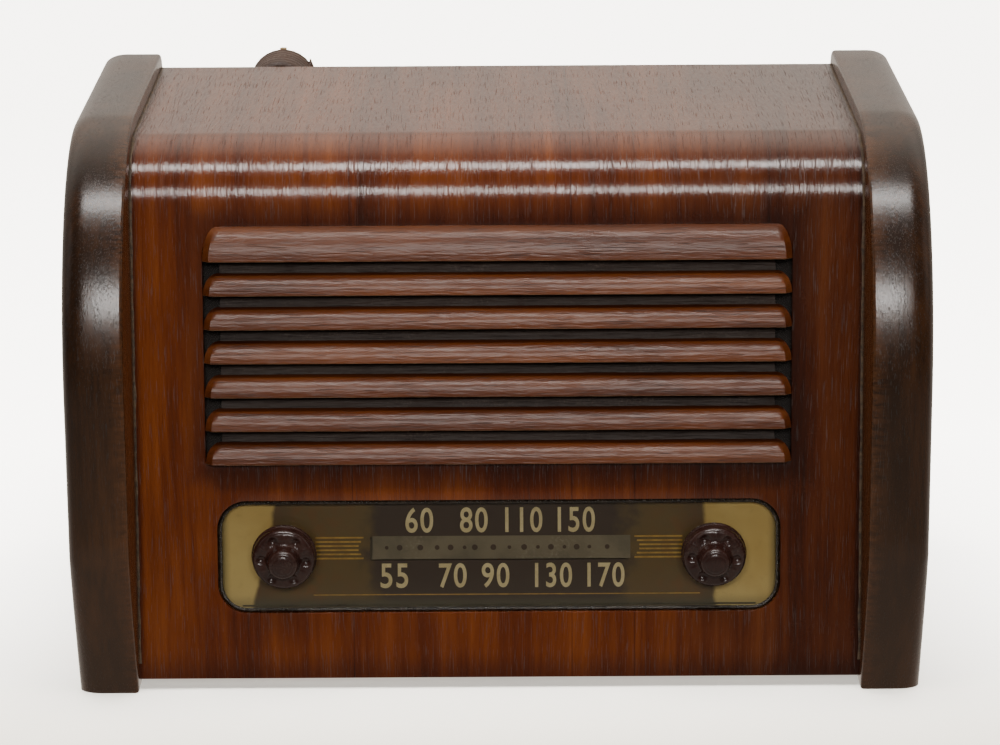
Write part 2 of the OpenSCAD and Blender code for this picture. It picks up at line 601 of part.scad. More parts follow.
// Back
COVER_SCREW_Z = [board_t + 18, (board_t + top_z) / 2, top_z - wrap_t - 18];
vent_w = 3;
module rear_cover() color("#6b4a2e") from_foot() difference() {
    translate([-half_in, cover_y, 0]) cube([2 * half_in, cover_t, top_z - wrap_t]);
    for (x = [-96:12:96], z = [top_z - 70, top_z - 42]) translate([x - vent_w / 2, cover_y - 1, z]) cube([vent_w, cover_t + 2, 20]);
    for (x = [0:12:96]) translate([x - vent_w / 2, cover_y - 1, 22]) cube([vent_w, cover_t + 2, 20]);
    for (s = [-1, 1], z = COVER_SCREW_Z) to_back(s * (half_in - cleat_w / 2), cover_y - 1, z) cylinder(r = cover_screw_r, h = cover_t + 2);
    to_back(grommet_x, cover_y - 1, grommet_z) cylinder(r = 5, h = cover_t + 2);
}

module cover_screws() color("gold") from_foot() for (s = [-1, 1], z = COVER_SCREW_Z) to_back(s * (half_in - cleat_w / 2), cover_y - 9, z) {
    cylinder(r = cover_screw_r, h = 9 + cover_t);
    translate([0, 0, 9 + cover_t]) cylinder(r = 3.4, h = 1.6);
}

aerial_low = top_z - 108;
module loop_aerial() color("#7a4f2a") from_foot() to_front(0, cover_y, (aerial_low + top_z - 16) / 2) linear_extrude(1.6)
    difference() {
        rounded(224, top_z - 16 - aerial_low, 14);
        rounded(188, top_z - 52 - aerial_low, 8);
    }

// Power cord, its hank on a hook, and its plug
row_cover = cover_y + cover_t + cap_front - cabinet_d / 2;      // outer face of the cover, from the origin
row_edge = wrap_back + cap_front - cabinet_d / 2;               // rear edge of the top, from the origin
hook_z = hank_top - 2 * cord_r - hook_r;
hook_end = hank_y + hank_deep + cord_r + 2;
module hook_shank() to_back(hank_x, row_edge - 12, hook_z) cylinder(r = hook_r, h = hook_end - row_edge + 12);

module cord_hook() color("goldenrod") {
    hook_shank();
    translate([hank_x, hook_end, hook_z]) sphere(r = hook_r);
    translate([hank_x, hook_end, hook_z]) cylinder(r = hook_r, h = 5);
}

module cord_grommet() color("#1c1816") to_back(grommet_x, row_cover, grommet_z + foot_h) difference() {
    union() {
        cylinder(r = grommet_r, h = 2.5);
        translate([0, 0, -cover_t - 1.5]) cylinder(r = 4.9, h = cover_t + 2);
        rotate_extrude() polygon([[0, 2], [5.6, 2], [cord_r + 1, LEAD[0][1] - row_cover], [0, LEAD[0][1] - row_cover]]);
    }
    translate([0, 0, -cover_t - 2]) cylinder(r = cord_r, h = cover_t + 3);
}

function unit(v) = v / norm(v);
function way(p, i) = unit(p[min(i + 1, len(p) - 1)] - p[max(i - 1, 0)]);
function flat_to(v, t) = unit(v - (v * t) * t);
function normals(p, i, last) = let(m = flat_to(last, way(p, i))) i == len(p) - 1 ? [m] : concat([m], normals(p, i + 1, m));

module cord_tube(p, sides) color("#4b2f22") {
    n = normals(p, 0, [0.3, 0.1, 1]);
    last = len(p) - 1;
    polyhedron([for (i = [0:last], k = [0:sides - 1]) let(b = cross(way(p, i), n[i]), a = k * 360 / sides)
        p[i] + cord_r * (cos(a) * n[i] + sin(a) * b)],
        concat([[for (k = [0:sides - 1]) k]], [[for (k = [sides - 1:-1:0]) last * sides + k]],
            [for (i = [0:last - 1], k = [0:sides - 1]) [(i + 1) * sides + k, (i + 1) * sides + (k + 1) % sides,
                i * sides + (k + 1) % sides, i * sides + k]]));
}

module power_cord_lead() cord_tube(LEAD, 10);
module power_cord_tail() cord_tube(TAIL, 10);

hank_solid_y = hank_y - cord_r;
module power_cord_hank() color("#4b2f22") to_front(hank_x, hank_y + hank_deep + cord_r, hank_top - hank_r - cord_r - hank_run / 2)
    linear_extrude(hank_deep + 2 * cord_r) difference() {
        rounded(2 * (hank_r + cord_r), hank_run + 2 * (hank_r + cord_r), hank_r + cord_r - 0.01);
        rounded(2 * (hank_r - cord_r), hank_run + 2 * (hank_r - cord_r), hank_r - cord_r - 0.01);
    }

module power_plug() color("#2b201c") translate(TAIL[len(TAIL) - 1]) rotate([0, 0, -plug_turn]) rotate([0, 90, 0]) {
    rotate_extrude() polygon([[0, 0], [cord_r + 1.2, 0], [plug_r - 2, 7], [plug_r, 12], [plug_r, plug_l - 2], [plug_r - 1, plug_l], [0, plug_l]]);
    for (y = [-6.35, 6.35]) translate([-3.2, y - 0.75, plug_l]) cube([6.4, 1.5, 16]);
}

cabinet_wrap();
left_end_cap();
right_end_cap();
bottom_board();
glue_blocks();
side_cleats();
louver_1();
louver_2();
louver_3();
louver_4();
louver_5();
louver_6();
louver_7();
grille_cloth();
speaker_baffle();
speaker_basket();
speaker_cone();
speaker_magnet();
speaker_screws();
dial_glass();
dial_face();
dial_clips();
scale_reflector();
pointer_rail();
dial_cord();
dial_pointer();
idler_pins();
left_idler();
right_idler();
dial_drum();
gang_rotor();
gang_frame();
gang_stator();
tuning_knob();
tuning_shaft();
tuning_bush();
volume_knob();
volume_shaft();
volume_control();
chassis();
chassis_bolts();
valve_sockets();
valve_1();
valve_2();
valve_3();
valve_4();
valve_5();
coil_cans();
filter_capacitor();
output_transformer();
pilot_lamp();
rear_cover();
loop_aerial();
cover_screws();
cord_hook();
cord_grommet();
power_cord_lead();
power_cord_hank();
power_cord_tail();
power_plug();
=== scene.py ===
"""Looks of a tabletop valve radio: veneered wrap, bowed end caps, louvres, glazed dial, knobs and power cord.

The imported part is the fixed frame. The classes hold lengths in millimetres, and MM turns them into metres.
"""

import logging
import math
from collections.abc import Callable, Iterable
from dataclasses import dataclass
from enum import Enum

import bmesh
import bpy
from mathutils import Matrix, Vector, noise


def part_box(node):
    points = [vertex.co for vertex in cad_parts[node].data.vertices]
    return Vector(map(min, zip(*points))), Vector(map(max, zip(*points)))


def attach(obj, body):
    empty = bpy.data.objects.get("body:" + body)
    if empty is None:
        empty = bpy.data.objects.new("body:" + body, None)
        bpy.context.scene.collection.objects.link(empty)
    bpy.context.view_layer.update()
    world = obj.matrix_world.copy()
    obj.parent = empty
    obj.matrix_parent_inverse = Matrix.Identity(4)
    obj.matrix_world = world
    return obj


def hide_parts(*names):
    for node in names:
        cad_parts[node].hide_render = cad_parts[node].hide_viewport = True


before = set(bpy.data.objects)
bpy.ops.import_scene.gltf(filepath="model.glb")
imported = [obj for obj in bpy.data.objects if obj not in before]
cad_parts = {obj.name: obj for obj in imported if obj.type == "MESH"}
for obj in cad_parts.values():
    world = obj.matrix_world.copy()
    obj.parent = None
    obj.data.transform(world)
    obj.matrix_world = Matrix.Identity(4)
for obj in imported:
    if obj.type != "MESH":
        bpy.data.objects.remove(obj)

MM = 0.001
LOG = logging.getLogger("radio")
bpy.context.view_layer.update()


class Bodies(str, Enum):
    """The bodies that pieces ride on."""

    CABINET = "cabinet"
    TUNING = "tuning_control"
    VOLUME = "volume_knob_set"
    ROTOR = "tuning_rotor"
    POINTER = "pointer"
    LEFT_PULLEY = "left_pulley"
    RIGHT_PULLEY = "right_pulley"


class Side(Enum):
    """Left or right, seen from the front."""

    LEFT = -1
    RIGHT = 1


# --- node helpers -----------------------------------------------------------------------------------------


class Graph:
    """Adds nodes to one node tree and links them."""

    def __init__(self, tree: bpy.types.NodeTree) -> None:
        """Keeps the tree."""
        self.tree = tree

    def add(self, kind: str, inputs: dict | None = None, **settings) -> bpy.types.Node:
        """Adds one node.

        Args:
            kind: the node type, without its ShaderNode prefix.
            inputs: socket name or number to a value or a socket.
            settings: attributes of the node.

        Returns:
            The new node.
        """
        node = self.tree.nodes.new("ShaderNode" + kind)
        for name, value in settings.items():
            setattr(node, name, value)
        for key, value in (inputs or {}).items():
            if isinstance(value, bpy.types.NodeSocket):
                self.tree.links.new(value, node.inputs[key])
            else:
                node.inputs[key].default_value = value
        return node

    def math(self, operation: str, a, b=0.0) -> bpy.types.NodeSocket:
        """Adds a Math node and returns its value."""
        return self.add("Math", {0: a, 1: b}, operation=operation).outputs[0]

    def scaled(self, value, factor: float, start) -> bpy.types.NodeSocket:
        """A value times a factor, added to a start."""
        return self.add("Math", {0: value, 1: factor, 2: start}, operation="MULTIPLY_ADD").outputs[0]

    def ramp(self, value, stops: list[tuple[float, tuple]]) -> bpy.types.NodeSocket:
        """Adds a colour ramp with (position, colour) stops and returns its colour."""
        node = self.add("ValToRGB", {0: value})
        ramp = node.color_ramp
        while len(ramp.elements) < len(stops):
            ramp.elements.new(0.5)
        for element, (place, colour) in zip(ramp.elements, stops, strict=True):
            element.position = place
            element.color = (*colour[:3], 1.0)
        return node.outputs[0]

    def band(self, value, low: float, high: float, start: float = 0.0,
             end: float = 1.0) -> bpy.types.NodeSocket:
        """Eases a value from one range to another and returns it, clamped."""
        ranges = {0: value, 1: low, 2: high, 3: start, 4: end}
        return self.add("MapRange", ranges, interpolation_type="SMOOTHSTEP").outputs[0]

    def mix(self, factor, a, b, blend: str = "MIX") -> bpy.types.NodeSocket:
        """Mixes two colours and returns the result."""
        node = self.add("Mix", {0: factor, 6: a, 7: b}, data_type="RGBA", blend_type=blend)
        return node.outputs[2]

    def noise(self, vector, scale: float, detail: float = 3.0, rough: float = 0.55, stretch=(1, 1, 1)):
        """Adds noise on a stretched vector and returns its value."""
        if tuple(stretch) != (1, 1, 1):
            vector = self.add("VectorMath", {0: vector, 1: stretch}, operation="MULTIPLY").outputs[0]
        node = self.add("TexNoise", {"Vector": vector, "Scale": scale, "Detail": detail, "Roughness": rough})
        return node.outputs[0]


def make_group(name: str, inputs: dict, outputs: dict, build: Callable) -> bpy.types.NodeTree:
    """Builds a shared node group.

    Args:
        name: the group's name.
        inputs: socket name to (type, default).
        outputs: socket name to type.
        build: takes the graph and the input sockets, and returns the output sockets by name.

    Returns:
        The group.
    """
    tree = bpy.data.node_groups.new(name, "ShaderNodeTree")
    for label, (kind, default) in inputs.items():
        socket = tree.interface.new_socket(label, in_out="INPUT", socket_type="NodeSocket" + kind)
        if default is not None:
            socket.default_value = default
    for label, kind in outputs.items():
        tree.interface.new_socket(label, in_out="OUTPUT", socket_type="NodeSocket" + kind)
    graph = Graph(tree)
    start = tree.nodes.new("NodeGroupInput")
    end = tree.nodes.new("NodeGroupOutput")
    made = build(graph, {s.name: s for s in start.outputs if s.name})
    for label in outputs:
        tree.links.new(made[label], end.inputs[label])
    return tree


def build_grain(graph: Graph, given: dict) -> dict:
    """Wood along the second axis of a vector in metres: its tone, its open pores and their height."""
    vector = given["Vector"]
    warp = graph.noise(vector, 14.0, 2.0, 0.5, (1.0, 0.25, 1.0))
    sway = graph.math("MULTIPLY", graph.math("SUBTRACT", warp, 0.5), given["Figure"])
    shift = graph.add("CombineXYZ", {0: sway})
    bent = graph.add("VectorMath", {0: vector, 1: shift.outputs[0]}, operation="ADD").outputs[0]
    broad = graph.noise(bent, 55.0, 3.0, 0.6, (1.0, 0.06, 1.0))
    streak = graph.noise(bent, 420.0, 3.0, 0.65, (1.0, 0.035, 1.0))
    pore = graph.noise(bent, 2400.0, 2.0, 0.6, (1.0, 0.028, 1.0))
    fibre = graph.noise(bent, 4200.0, 3.0, 0.7, (1.0, 0.020, 1.0))
    patch = graph.noise(vector, 60.0, 2.0, 0.5, (1.0, 0.3, 1.0))
    limit = graph.scaled(patch, -0.10, 0.44)
    open_pores = graph.band(graph.math("SUBTRACT", pore, limit), 0.03, -0.06)
    tone = graph.scaled(broad, 0.55, graph.scaled(streak, 0.27, graph.math("MULTIPLY", fibre, 0.18)))
    ripple = graph.noise(bent, 1100.0, 2.0, 0.5, (1.0, 0.12, 1.0))
    height = graph.scaled(open_pores, -0.45, graph.scaled(fibre, 0.5, graph.math("MULTIPLY", ripple, 1.8)))
    return {"Tone": tone, "Pores": open_pores, "Height": height}


def build_age(graph: Graph, given: dict) -> dict:
    """Dust and rub marks as two masks on Object coordinates."""
    cloud = graph.noise(given["Vector"], 38.0, 5.0, 0.7)
    speck = graph.noise(given["Vector"], 900.0, 2.0, 0.8)
    dust = graph.math("MULTIPLY", graph.band(cloud, 0.42, 0.75), graph.band(speck, 0.45, 0.8))
    rub = graph.band(graph.noise(given["Vector"], 120.0, 6.0, 0.75), 0.5, 0.72)
    amount = given["Amount"]
    return {"Dust": graph.math("MULTIPLY", dust, amount), "Rub": graph.math("MULTIPLY", rub, amount)}


GRAIN = make_group("wood_grain", {"Vector": ("Vector", None), "Figure": ("Float", 0.01)},
                   {"Tone": "Float", "Pores": "Float", "Height": "Float"}, build_grain)
AGE = make_group("age_marks", {"Vector": ("Vector", None), "Amount": ("Float", 1.0)},
                 {"Dust": "Float", "Rub": "Float"}, build_age)


class Painter:
    """One material being made: its graph, its Principled shader and its coordinates."""

    def __init__(self, name: str, **shader: float | tuple) -> None:
        """Starts a material with plain values on its shader's own sockets."""
        self.material = bpy.data.materials.new(name)
        self.material.use_nodes = True
        tree = self.material.node_tree
        tree.nodes.clear()
        self.graph = Graph(tree)
        self.shader = self.graph.add("BsdfPrincipled")
        for key, value in shader.items():
            self.shader.inputs[key.replace("_", " ")].default_value = value
        self.out = self.graph.add("OutputMaterial")
        tree.links.new(self.shader.outputs[0], self.out.inputs[0])
        self.coords = self.graph.add("TexCoord")

    @property
    def at(self) -> bpy.types.NodeSocket:
        """Object coordinates, in metres."""
        return self.coords.outputs["Object"]

    @property
    def uv(self) -> bpy.types.NodeSocket:
        """The piece's own UV map."""
        return self.coords.outputs["UV"]

    def turned(self, source, rotation=(0, 0, 0), offset=(0, 0, 0)) -> bpy.types.NodeSocket:
        """Turns a pattern's vector and shifts it."""
        node = self.graph.add("Mapping", {"Vector": source, "Rotation": rotation, "Location": offset})
        return node.outputs[0]

    def group(self, tree: bpy.types.NodeTree, **inputs) -> bpy.types.Node:
        """Places a shared group."""
        node = self.graph.add("Group", node_tree=tree)
        for key, value in inputs.items():
            if isinstance(value, bpy.types.NodeSocket):
                self.graph.tree.links.new(value, node.inputs[key])
            else:
                node.inputs[key].default_value = value
        return node

    def feed(self, socket: str, value) -> None:
        """Links a value into the shader."""
        self.graph.tree.links.new(value, self.shader.inputs[socket])

    def bump(self, height, strength: float, distance: float) -> None:
        """Adds relief."""
        node = self.graph.add("Bump", {"Height": height, "Strength": strength, "Distance": distance})
        self.feed("Normal", node.outputs[0])

    def split(self, vector) -> list:
        """The three parts of a vector."""
        return list(self.graph.add("SeparateXYZ", {0: vector}).outputs)


# --- finishes ---------------------------------------------------------------------------------------------


@dataclass(frozen=True)
class Veneer:
    """Lacquered walnut veneer over the whole wrap, on the sheet's own UV map in metres."""

    name: str = "walnut_veneer"
    dark: tuple = (0.026, 0.0046, 0.0008)
    middle: tuple = (0.118, 0.0225, 0.0020)
    light: tuple = (0.225, 0.058, 0.0082)
    seams: tuple = (-0.057, 0.0285, 0.053)
    grille: tuple = (0.114, 0.085, 0.179)

    def build(self) -> bpy.types.Material:
        """Makes the material."""
        p = Painter(self.name, IOR=1.52, Specular_IOR_Level=0.62)
        g = p.graph
        across, along, _ = p.split(p.uv)
        grain = p.group(GRAIN, Vector=p.uv, Figure=0.012)
        colour = g.ramp(grain.outputs["Tone"], [(0.30, self.dark), (0.46, self.middle), (0.62, self.light)])
        leaf = g.noise(g.add("CombineXYZ", {0: self._leaf(g, across)}).outputs[0], 3.7, 0.0)
        colour = g.mix(g.band(leaf, 0.35, 0.65, 0.0, 0.55), colour, (0.75, 0.62, 0.60, 1), "MULTIPLY")
        cloud = g.noise(p.uv, 11.0, 3.0, 0.55)
        colour = g.mix(g.band(cloud, 0.40, 0.66, 0.0, 0.55), colour, (0.55, 0.40, 0.40, 1), "MULTIPLY")
        toner = g.math("MULTIPLY", self._toner(g, across, along), 0.80)
        colour = g.mix(toner, colour, (0.28, 0.17, 0.15, 1), "MULTIPLY")
        pores = g.math("MULTIPLY", grain.outputs["Pores"], 0.45)
        colour = g.mix(pores, colour, (0.34, 0.27, 0.24, 1), "MULTIPLY")
        colour = g.mix(g.band(across, 0.03, 0.13, 0.0, 0.9), colour, (0.50, 0.52, 0.80, 1), "MULTIPLY")
        colour = g.mix(self._seam(g, across), colour, (0.35, 0.25, 0.2, 1), "MULTIPLY")
        marks = p.group(AGE, Vector=p.uv, Amount=0.10)
        colour = g.mix(marks.outputs["Dust"], colour, (0.24, 0.17, 0.13, 1))
        p.feed("Base Color", colour)
        p.feed("Roughness", g.scaled(marks.outputs["Rub"], 0.3, g.scaled(grain.outputs["Pores"], 0.35, 0.17)))
        p.bump(grain.outputs["Height"], 1.0, 0.00012)
        return p.material

    def _leaf(self, g: Graph, across) -> bpy.types.NodeSocket:
        """The number of the leaf that a point lies on."""
        count = g.math("GREATER_THAN", across, self.seams[0])
        for seam in self.seams[1:]:
            count = g.math("ADD", count, g.math("GREATER_THAN", across, seam))
        return count

    def _seam(self, g: Graph, across) -> bpy.types.NodeSocket:
        """A thin dark line at each joint between leaves."""
        total = None
        for seam in self.seams:
            away = g.math("ABSOLUTE", g.math("SUBTRACT", across, seam))
            line = g.band(away, 0.0004, 0.0001, 0.0, 0.6)
            total = line if total is None else g.math("MAXIMUM", total, line)
        return total

    def _toner(self, g: Graph, across, along) -> bpy.types.NodeSocket:
        """Dark shading that was sprayed round the grille, along the foot and beside the caps."""
        half, low, high = self.grille
        side = g.math("SUBTRACT", g.math("ABSOLUTE", across), half)
        from_middle = g.math("ABSOLUTE", g.math("SUBTRACT", along, (low + high) / 2))
        upper = g.math("SUBTRACT", from_middle, (high - low) / 2)
        near = g.band(g.math("MAXIMUM", side, upper), 0.012, 0.0)
        foot = g.band(along, 0.012, 0.0)
        edge = g.band(g.math("ABSOLUTE", across), 0.1385, 0.1405)
        return g.math("MAXIMUM", near, g.math("MAXIMUM", g.math("MULTIPLY", foot, 0.8), edge))


@dataclass(frozen=True)
class SolidWood:
    """Solid wood whose grain runs along one axis of the object, with a paler worn colour on marked edges,
    which on the louvres' lower arris is also a painted highlight, and, if given, painted bounce light that
    lightens its lowest part.
    """

    name: str
    dark: tuple
    middle: tuple
    light: tuple
    worn: tuple
    rough: float = 0.38
    coat: float = 0.35
    turn: tuple = (0.0, 0.0, 0.0)
    relief: float = 0.3
    figure: float = 0.012
    wear: float = 0.0
    dust: float = 0.3
    gloss: float = 0.5
    painted_floor_bounce: tuple = ()

    def build(self) -> bpy.types.Material:
        """Makes the material."""
        p = Painter(self.name, IOR=1.5, Coat_Roughness=0.2, Coat_Weight=self.coat,
                    Specular_IOR_Level=self.gloss)
        g = p.graph
        vector = p.turned(p.at, self.turn)
        grain = p.group(GRAIN, Vector=vector, Figure=self.figure)
        colour = g.ramp(grain.outputs["Tone"], [(0.30, self.dark), (0.47, self.middle), (0.64, self.light)])
        cloud = g.noise(p.at, 9.0, 3.0, 0.6)
        colour = g.mix(g.band(cloud, 0.4, 0.68, 0.0, 0.6), colour, (0.42, 0.36, 0.36, 1), "MULTIPLY")
        pores = grain.outputs["Pores"]
        colour = g.mix(g.math("MULTIPLY", pores, 0.7), colour, (0.2, 0.16, 0.15, 1), "MULTIPLY")
        marks = p.group(AGE, Vector=p.at, Amount=self.dust)
        colour = g.mix(marks.outputs["Dust"], colour, (0.2, 0.15, 0.12, 1))
        # Painted bounce light: the lowest part is lightened as if lit from the floor, which lights nothing
        # here.
        if self.painted_floor_bounce:
            height = p.split(p.at)[2]
            colour = g.mix(g.band(height, 0.15, 0.01, 0.0, 0.85), colour, (*self.painted_floor_bounce, 1), "SCREEN")
        # Marked edges get the paler worn colour; on the louvres' lower front arris it is partly wear and
        # partly a painted highlight.
        if self.wear:
            edge = g.add("Attribute", attribute_name="wear").outputs["Fac"]
            fray = g.noise(p.at, 700.0, 4.0, 0.7, (0.25, 1.0, 1.0))
            worn = g.math("MULTIPLY", g.math("POWER", edge, 4.0), g.band(fray, 0.38, 0.62, 0.1, self.wear))
            colour = g.mix(worn, colour, (*self.worn, 1))
        p.feed("Base Color", colour)
        p.feed("Roughness", g.scaled(marks.outputs["Rub"], 0.3, g.scaled(pores, 0.25, self.rough)))
        p.bump(grain.outputs["Height"], self.relief, 0.0003)
        return p.material


@dataclass(frozen=True)
class Plain:
    """A moulded, painted, plated or rubber surface with slight unevenness, dust and rub marks."""

    name: str
    colour: tuple
    second: tuple
    rough: float = 0.4
    metal: float = 0.0
    coat: float = 0.0
    scale: float = 60.0
    relief: float = 0.05
    dust: float = 0.3
    dust_colour: tuple = (0.3, 0.26, 0.22)

    def build(self) -> bpy.types.Material:
        """Makes the material."""
        p = Painter(self.name, Metallic=self.metal, Coat_Weight=self.coat, Coat_Roughness=0.12)
        g = p.graph
        cloud = g.noise(p.at, self.scale, 5.0, 0.6)
        marks = p.group(AGE, Vector=p.at, Amount=self.dust)
        colour = g.mix(g.band(cloud, 0.35, 0.65), (*self.colour, 1), (*self.second, 1))
        p.feed("Base Color", g.mix(marks.outputs["Dust"], colour, (*self.dust_colour, 1)))
        p.feed("Roughness", g.scaled(marks.outputs["Rub"], 0.2, g.scaled(cloud, 0.16, self.rough - 0.08)))
        p.bump(g.noise(p.at, self.scale * 12, 4.0, 0.6), self.relief, 0.0004)
        return p.material


@dataclass(frozen=True)
class Glass:
    """Clear old glass: seen straight through, with gloss by Fresnel and a few smears."""

    name: str
    tint: tuple
    ior: float = 1.5
    rough: float = 0.04

    def build(self) -> bpy.types.Material:
        """Makes the material."""
        p = Painter(self.name)
        g = p.graph
        clear = g.add("BsdfTransparent", {"Color": (*self.tint, 1)})
        smear = g.band(g.noise(p.at, 45.0, 5.0, 0.7), 0.45, 0.8, self.rough, self.rough + 0.12)
        gloss = g.add("BsdfAnisotropic", {"Color": (1, 1, 1, 1), "Roughness": smear})
        mix = g.add("MixShader", {0: g.add("Fresnel", {"IOR": self.ior}).outputs[0]})
        g.tree.links.new(clear.outputs[0], mix.inputs[1])
        g.tree.links.new(gloss.outputs[0], mix.inputs[2])
        g.tree.links.new(mix.outputs[0], p.out.inputs[0])
        g.tree.nodes.remove(p.shader)
        return p.material


@dataclass(frozen=True)
class DialPaint:
    """The dial face: a dark middle, amber and olive ageing, and pale gold ends."""

    lean: float
    foot: tuple
    name: str = "dial_paint"
    gold: tuple = (0.50, 0.35, 0.115)
    dark: tuple = (0.028, 0.0105, 0.0080)
    olive: tuple = (0.098, 0.058, 0.0125)
    amber: tuple = (0.125, 0.050, 0.006)

    def build(self) -> bpy.types.Material:
        """Makes the material."""
        p = Painter(self.name, Roughness=0.5)
        g = p.graph
        moved = g.add("VectorMath", {0: p.at, 1: self.foot}, operation="SUBTRACT").outputs[0]
        local = p.turned(moved, (math.radians(self.lean), 0, 0))
        x, _, u = p.split(local)
        side = g.math("ABSOLUTE", x)
        ragged = g.noise(local, 90.0, 4.0, 0.6)
        right = g.math("GREATER_THAN", x, 0.0)
        start = g.scaled(right, -0.0074, 0.0873)
        gold_edge = g.scaled(g.math("SUBTRACT", 0.0705, u), g.scaled(right, -0.10, 0.226), start)
        uneven = g.math("SUBTRACT", ragged, 0.5)
        gold_edge = g.scaled(uneven, 0.004, gold_edge)
        beyond = g.math("SUBTRACT", side, gold_edge)
        gold = g.band(beyond, -0.0012, 0.0010)
        aged = g.scaled(uneven, 0.022, side)
        colour = g.mix(g.band(aged, 0.046, 0.055), (*self.dark, 1), (*self.olive, 1))
        spots = g.band(g.noise(local, 160.0, 5.0, 0.65), 0.42, 0.62)
        blotch = g.math("MULTIPLY", spots, g.band(aged, 0.052, 0.07, 0.0, 0.8))
        colour = g.mix(blotch, colour, (*self.amber, 1))
        colour = g.mix(g.band(beyond, -0.012, -0.001, 0.0, 0.55), colour, (0.060, 0.026, 0.006, 1))
        stain = g.noise(local, 26.0, 3.0, 0.6)
        pale = g.mix(g.band(stain, 0.35, 0.65), (*self.gold, 1), (0.60, 0.46, 0.19, 1))
        dirt = g.band(g.noise(local, 300.0, 4.0, 0.7), 0.55, 0.75, 0.0, 0.35)
        pale = g.mix(dirt, pale, (0.26, 0.18, 0.06, 1))
        # Painted shade: the pale ends darken over the last few millimetres at each side, where the opening's
        # edge shades the face.
        edge_shade = g.band(side, 0.1050, 0.1085, 0.0, 0.6)
        pale = g.mix(edge_shade, pale, (0.10, 0.075, 0.02, 1))
        # Painted along the foot: below about 32 mm the face turns dark olive, standing in for the pane's
        # green edge and the shade along it, seen through the glass.
        foot = g.band(u, 0.0325, 0.0280, 0.0, 0.75)
        pale = g.mix(g.math("MULTIPLY", foot, 0.5), pale, (0.12, 0.10, 0.04, 1))
        colour = g.mix(foot, colour, (0.050, 0.042, 0.018, 1))
        p.feed("Base Color", g.mix(gold, colour, pale))
        p.bump(g.noise(local, 800.0, 3.0), 0.05, 0.0002)
        return p.material


@dataclass(frozen=True)
class Weave:
    """Plain woven cloth on a UV map in metres."""

    name: str
    colour: tuple
    pitch: float

    def build(self) -> bpy.types.Material:
        """Makes the material."""
        p = Painter(self.name, Roughness=0.9, Sheen_Weight=0.3)
        g = p.graph
        across, along, _ = p.split(p.uv)
        turn = 2 * math.pi / self.pitch
        warp = g.math("SINE", g.math("MULTIPLY", across, turn))
        weft = g.math("SINE", g.math("MULTIPLY", along, turn))
        cross = g.math("MULTIPLY", warp, weft)
        shade = g.mix(g.band(cross, -1.0, 1.0), (*[c * 0.5 for c in self.colour], 1), (*self.colour, 1))
        soil = g.band(g.noise(p.uv, 40.0), 0.4, 0.7, 0.0, 0.5)
        p.feed("Base Color", g.mix(soil, shade, (0.3, 0.3, 0.3, 1), "MULTIPLY"))
        p.bump(cross, 0.6, 0.0003)
        return p.material


